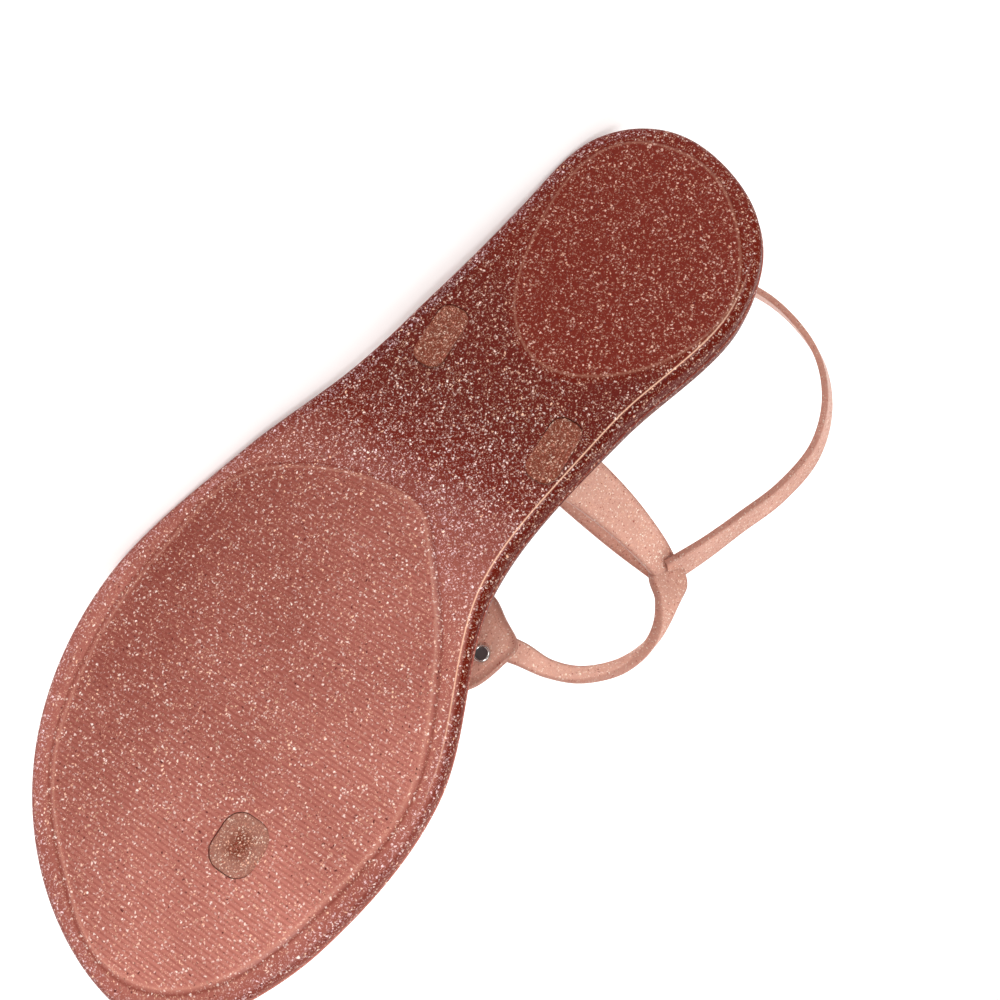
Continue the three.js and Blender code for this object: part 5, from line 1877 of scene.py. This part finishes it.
@dataclass
class Buckle:
    """The fastened buckle: frame with its bar, prong, and the tab that holds it."""

    loop: AnkleLoop
    width: float = 13.0
    frame_height: float = 4.9
    tab_width: float = 6.0
    tab_length: float = 15.6
    corner_tension: float = 0.6
    prong_over: float = 1.2
    tab_depth: float = 0.15
    tab_sparkle: float = 0.35
    corners: tuple[tuple[float, float], ...] = (
        (1, 0.35), (0.8, 0.85), (0, 1), (-0.8, 0.85), (-1, 0.35),
        (-1, -0.35), (-0.8, -0.85), (0, -1), (0.8, -0.85), (1, -0.35),
    )

    def seat(self) -> Stake:
        """The collar's frame under the bar."""
        return self.loop.frames(self.loop.bar_way).single()

    def wire_point(self, a: np.ndarray, c: np.ndarray) -> np.ndarray:
        """Points of the frame's wire: height runs from the bar's to the ends' as a^2.

        Args:
            a: Shares of the half length.
            c: Shares of the half width.

        Returns:
            One point for each pair.
        """
        seat = self.seat()
        bar_height = self.loop.bar_height
        a, c = np.asarray(a, float)[:, None], np.asarray(c, float)[:, None]
        height = self.loop.above(bar_height + (self.frame_height - bar_height) * a**2)
        return (seat.point + a * self.loop.buckle_length / 2.0 * seat.along
                + c * self.width / 2.0 * seat.across + height * seat.out)

    def frame_surface(self) -> Surface:
        """The closed wire and its centre bar.

        Returns:
            Both as one surface.
        """
        seat = self.seat()
        knots = self.wire_point(*np.array(self.corners, float).T)
        shares = np.linspace(0.0, 1.0, 144, endpoint=False)
        points = even_curve(knots, shares, tension=self.corner_tension, closed=True)
        along = unit(np.roll(points, -1, axis=0) - np.roll(points, 1, axis=0))
        across = unit(np.cross(seat.out, along))
        out = unit(np.cross(along, across))
        size = np.full(len(points), BUCKLE_WIRE)
        wire = Stations(points, across, out, size, size).sweep(closed=True, corner=0.9, flat_steps=2)
        middle = self.wire_point(np.zeros(1), np.zeros(1))[0]
        radius, half = BUCKLE_WIRE / 2.0, self.width / 2.0
        bar = turned(Stake(middle, seat.along, seat.out, seat.across),
                     ((radius, -half), (radius, half)), 24)
        return wire.only("hollow").joined(bar.only("hollow"))

    def prong_surface(self) -> Surface:
        """The prong: an eye round the bar and a pin that rests on the frame's far end.

        Returns:
            The closed surface.
        """
        seat, loop = self.seat(), self.loop
        eye = BUCKLE_WIRE / 2.0 + CLEARANCE + PRONG_WIRE / 2.0
        angle = np.linspace(0.9 * math.pi, 2.0 * math.pi, 9)
        rest = self.frame_height + eye
        strap_top = loop.bar_height + LOOP_RADIUS + CLEARANCE + loop.tongue_wall
        # The pin's rows run through the hole, over the strap and out onto the frame.
        pin_run = [PRONG_HOLE_FROM_BAR, PRONG_HOLE_FROM_BAR + CLEARANCE, 2.0 * PRONG_HOLE_FROM_BAR,
                   loop.buckle_length / 2.0 + self.prong_over]
        pin_lift = [strap_top - loop.tongue_wall, strap_top + CLEARANCE,
                    strap_top + PRONG_WIRE + 2.0 * CLEARANCE, rest]
        run = np.concatenate([eye * np.cos(angle), pin_run])
        lift = np.concatenate([loop.bar_height + eye * np.sin(angle), pin_lift])
        knots = (seat.point - run[:, None] * seat.along
                 + (loop.above(0.0) + lift)[:, None] * seat.out)
        points = chord_curve(knots, np.linspace(0.0, 1.0, 120))
        along = unit(np.gradient(points, axis=0))
        across = np.broadcast_to(seat.across, along.shape)
        out = unit(np.cross(along, across))
        size = np.full(len(points), PRONG_WIRE)
        size[-4:] *= np.array([0.97, 0.88, 0.7, 0.4])
        body = Stations(points, across, out, size, size).sweep(corner=0.9, flat_steps=2)
        return body.only("hollow")

    def on_collar(self, back: float, height: float) -> np.ndarray:
        """A point over the backing's outer face, so far back from the bar and so high."""
        return self.loop.frames(self.loop.bar_way - back, self.loop.above(height)).point[0]

    def tab_surface(self) -> Surface:
        """The strip looped round the bar, both ends under the rivet.

        Returns:
            The closed surface before its slot is cut.
        """
        seat, loop = self.seat(), self.loop
        radius = LOOP_RADIUS - TAB_WALL / 2.0
        lower = CLEARANCE + TAB_WALL / 2.0
        upper = lower + CLEARANCE + TAB_WALL
        centre = self.on_collar(0.0, loop.bar_height)
        knots = [self.on_collar(self.tab_length * share, lower) for share in (1.0, 0.66, 0.33)]
        knots += [centre + radius * math.cos(a) * seat.along + radius * math.sin(a) * seat.out
                  for a in np.linspace(-math.pi / 2, math.pi / 2, 11)]
        knots += [self.on_collar(self.tab_length * share, upper) for share in (0.33, 0.66, 1.0)]
        dense = chord_curve(np.array(knots), np.linspace(0.0, 1.0, 1201))
        ways = np.concatenate([[0.0], np.cumsum(np.linalg.norm(np.diff(dense, axis=0), axis=1))])
        even = np.linspace(0.0, ways[-1], 121)
        points = np.stack([np.interp(even, ways, dense[:, k]) for k in range(3)], axis=1)
        along = unit(np.gradient(points, axis=0))
        back = np.maximum(0.0, (seat.point - points) @ seat.along)
        out = unit(np.cross(along, loop.frames(loop.bar_way - back).across))
        across = unit(np.cross(out, along))
        width = np.full(len(points), self.tab_width)
        wall = np.full(len(points), TAB_WALL)
        return Stations(points, across, out, width, wall).sweep()

    def slot_cutter(self) -> Surface:
        """The slot in the tab for the prong's eye.

        Returns:
            A closed block to cut with.
        """
        seat = self.seat()
        centre = seat.point + self.loop.above(self.loop.bar_height) * seat.out
        reach = PRONG_HOLE_FROM_BAR + PRONG_WIRE
        half = PRONG_WIRE / 2.0 + CLEARANCE
        corner = np.array([(1, 1), (-1, 1), (-1, -1), (1, -1)], float)
        flat = corner[:, :1] * reach * seat.along + corner[:, 1:] * half * seat.across
        rings = [centre + flat + height * seat.out for height in (-2 * LOOP_RADIUS, 2 * LOOP_RADIUS)]
        return stacked(rings, {"rim": 0.0})

    def build(self, brass: bpy.types.Material, jelly: bpy.types.Material) -> list[bpy.types.Object]:
        """Builds and dresses the buckle's pieces.

        Args:
            brass: Finish of frame and prong.
            jelly: Finish of the tab.

        Returns:
            The finished pieces.
        """
        ring = self.frame_surface().to_object("buckle_ring", METAL_CREASE)
        dress(ring, brass, "pale_brass", "buckle_frame")
        prong = self.prong_surface().to_object("buckle_pin", METAL_CREASE)
        dress(prong, brass, "pale_brass", "buckle_prong")
        tab = self.tab_surface().to_object("buckle_loop")
        boolean(tab, self.slot_cutter().to_object("cut_slot"))
        finish_mesh(tab)
        ones = np.ones(len(tab.data.vertices))
        write_values(tab.data, {"depth": self.tab_depth * ones, "sparkle": self.tab_sparkle * ones})
        dress(tab, jelly, "strap_jelly", "buckle_tab")
        return [ring, prong, tab]


@dataclass
class TubularRivet:
    """A rivet with a domed head outside and a rolled, hollow end inside."""

    name: str
    node: str
    stake: Stake
    head: float
    low: float
    high: float
    shank: float = 2.0
    bore_share: float = 0.72
    bore_depth_share: float = 0.72

    def surface(self) -> Surface:
        """The rivet as a turned body, its hollow end towards the foot.

        Returns:
            The closed surface, with `hollow` high inside its bore.
        """
        radius, reach = self.head / 2.0, RIVET_HEAD_HEIGHT
        seat, crown = self.low - CLEARANCE, self.high + CLEARANCE
        foot = seat - reach
        bore, floor = radius * self.bore_share, foot + reach * self.bore_depth_share
        # Rows of radius and height: bore, rolled end, shank and domed head.
        profile = (
            (0.25, floor), (bore * 0.8, floor), (bore, foot + reach * 0.6),
            (bore + 0.05, foot + reach * 0.3), (bore + 0.12, foot + 0.1), (bore + 0.3, foot),
            (radius - 0.3, foot), (radius - 0.08, foot + 0.12), (radius, foot + 0.38),
            (radius - 0.05, seat - 0.1), (radius - 0.2, seat), (self.shank / 2.0, seat),
            (self.shank / 2.0, crown), (radius - 0.2, crown), (radius, crown + 0.12),
            (radius - 0.02, crown + 0.3), (radius * 0.85, crown + reach * 0.72),
            (radius * 0.55, crown + reach * 0.94), (0.2, crown + reach),
        )
        # The bore's rows are marked for the painted shade inside it.
        hollow = (1.0, 1.0, 1.0, 0.8, 0.2) + (0.0,) * (len(profile) - 5)
        return turned(self.stake, profile, 48, hollow)

    def build(self, steel: bpy.types.Material) -> bpy.types.Object:
        """Builds and dresses the rivet.

        Args:
            steel: Its finish.

        Returns:
            The finished piece.
        """
        piece = self.surface().to_object(self.name, METAL_CREASE)
        dress(piece, steel, "rivet_steel", self.node)
        return piece


@dataclass(frozen=True)
class SoftBox:
    """A square area light in the part's frame, aimed at the shoe: metres and watts."""

    name: str
    at: tuple[float, float, float]
    size: float
    power: float

    def build(self, aim: tuple[float, float, float]) -> None:
        """Places the light.

        Args:
            aim: The point that it shines at.
        """
        data = bpy.data.lights.new(self.name, "AREA")
        data.size = self.size
        data.energy = self.power
        made = bpy.data.objects.new(self.name, data)
        back = unit(np.array(self.at) - np.array(aim))
        right = unit(np.cross(np.array([0.0, 0.0, 1.0]), back))
        made.matrix_world = placing((right, np.cross(back, right), back), np.array(self.at))
        bpy.context.scene.collection.objects.link(made)


def placing(columns: tuple[np.ndarray, ...], at: np.ndarray) -> Matrix:
    """A placing matrix from three directions and a point.

    Args:
        columns: Where the object's X, Y and Z point.
        at: Its place in metres.

    Returns:
        The matrix.
    """
    turn = np.eye(4)
    turn[:3, :3] = np.array(columns).T
    turn[:3, 3] = at
    return Matrix(turn.tolist())


@dataclass
class Studio:
    """Pale floor sweeping up behind, soft lights, and the camera at the photo's angle.

    The camera's centre and directions are in the shoe frame, and the rest is in metres.
    """

    eye: tuple[float, float, float] = (165.0, -115.8, -313.6)
    gaze: tuple[float, float, float] = (-0.18, 0.31, 0.934)
    down: tuple[float, float, float] = (0.825, -0.469, 0.314)
    focal_px: float = 1435.56
    image_px: float = 1000.0
    sensor_mm: float = 36.0
    clip: tuple[float, float] = (0.01, 20.0)
    sheet_radius: float = 0.8
    sheet_reach: float = 1.6
    sheet_side: float = 14.0
    sheet_near: float = -14.0
    sheet_height: float = 6.0
    paper: tuple[float, float, float] = (0.96, 0.955, 0.95)
    paper_roughness: float = 0.85
    glow: tuple[float, float, float] = (1.0, 0.995, 0.99)
    glow_strength: float = 0.3
    surround: tuple[float, float, float, float] = (1.0, 0.985, 0.97, 1.0)
    surround_strength: float = 0.5
    aim: tuple[float, float, float] = (0.0, 0.0, 0.05)
    boxes: tuple[SoftBox, ...] = (
        SoftBox("key_box", (0.55, -0.9, 1.1), 0.5, 10.0),
        SoftBox("front_box", (-0.5, -1.1, 0.25), 0.4, 4.0),
        SoftBox("top_box", (-0.1, 0.5, 1.2), 0.8, 6.5),
    )

    def camera(self) -> None:
        """Places the camera from its centre and axes in the shoe frame."""
        ahead = unit(np.array(self.gaze))
        low = np.array(self.down)
        low = unit(low - (low @ ahead) * ahead)
        right = np.cross(low, ahead)
        data = bpy.data.cameras.new("photo_camera")
        data.sensor_width = self.sensor_mm
        data.lens = self.sensor_mm * self.focal_px / self.image_px
        data.clip_start, data.clip_end = self.clip
        made = bpy.data.objects.new("photo_camera", data)
        columns = tuple(SHOE.direction(v) for v in (right, -low, -ahead))
        made.matrix_world = placing(columns, SHOE.to_row(np.array(self.eye)))
        bpy.context.scene.collection.objects.link(made)
        bpy.context.scene.camera = made

    def sweep(self) -> None:
        """Floor and backdrop as one sheet: flat, then a quarter circle up to a wall."""
        angle = np.linspace(0.0, math.pi / 2.0, 24)[1:]
        back = self.sheet_reach + self.sheet_radius
        y = np.concatenate([[self.sheet_near, -1.0, 0.0, self.sheet_reach],
                            self.sheet_reach + self.sheet_radius * np.sin(angle), [back]])
        z = np.concatenate([np.zeros(4), self.sheet_radius * (1.0 - np.cos(angle)),
                            [self.sheet_height]])
        rows = [np.stack([np.full_like(y, x), y, z], axis=1)
                for x in (-self.sheet_side, self.sheet_side)]
        mesh = bpy.data.meshes.new("studio_floor")
        faces = grid_faces(2, len(y), wrap_columns=False)
        mesh.from_pydata(np.vstack(rows).tolist(), [], faces.tolist())
        mesh.polygons.foreach_set("use_smooth", np.ones(len(mesh.polygons), bool))
        made = bpy.data.objects.new("studio_floor", mesh)
        bpy.context.scene.collection.objects.link(made)
        paper = bpy.data.materials.new("studio_paper")
        paper.use_nodes = True
        Net(paper.node_tree).set_inputs({
            "Base Color": self.paper,
            "Roughness": self.paper_roughness,
            "Emission Color": self.glow,
            "Emission Strength": self.glow_strength,
        })
        mesh.materials.append(paper)

    def lights(self) -> None:
        """Soft boxes above and in front, and an even white surround."""
        world = bpy.data.worlds.new("studio_surround")
        world.use_nodes = True
        background = world.node_tree.nodes["Background"]
        background.inputs["Color"].default_value = self.surround
        background.inputs["Strength"].default_value = self.surround_strength
        bpy.context.scene.world = world
        for box in self.boxes:
            box.build(self.aim)

    def build(self) -> None:
        """Sets up camera, floor and lights."""
        self.camera()
        self.sweep()
        self.lights()
        bpy.context.scene.view_settings.view_transform = "Standard"
        LOG.info("studio ready")


def main() -> None:
    """Builds every sub-assembly in order."""
    logging.basicConfig(level=logging.INFO, format="%(name)s: %(message)s")
    sole_finish = JellyFinish("sole_glitter_jelly", thin=(0.45, 0.16, 0.125),
                              deep=(0.125, 0.008, 0.002), ribs=True)
    strap_finish = JellyFinish("strap_glitter_jelly", thin=(0.68, 0.37, 0.29),
                               deep=(0.15, 0.03, 0.015), flake=(1.0, 0.92, 0.78),
                               dark=(0.30, 0.07, 0.05), dark_share=0.4, fewest=0.1,
                               flake_mm=0.6)
    brass = MetalFinish(Metal.PALE_BRASS, (0.72, 0.62, 0.42), (0.55, 0.46, 0.3), (0.16, 0.32))
    steel = MetalFinish(Metal.STEEL, (0.62, 0.6, 0.58), (0.42, 0.4, 0.38), (0.14, 0.3))
    jelly, straps = sole_finish.material(), strap_finish.material()
    brass_made, steel_made = brass.material(), steel.material()
    Studio().build()
    sole = SoleMoulding()
    sole.build(jelly)
    loop, plate = AnkleLoop(), OrnamentPlate()
    UpperMoulding(loop, plate, sole.sizes).build(straps)
    Buckle(loop).build(brass_made, straps)
    half = PLATE_WALL / 2.0
    TubularRivet("plate_rivet", "rivet_plate", plate.stake(plate.rivet_at), 4.5,
                 -half - PLATE_STEP / 2, half + PLATE_STEP).build(steel_made)
    TubularRivet("strap_rivet", "rivet_buckle", loop.frames(loop.rivet_way).single(), 3.8,
                 -STRAP_WALL / 2, loop.above(2 * (CLEARANCE + TAB_WALL))).build(steel_made)


if __name__ == "__main__":
    main()
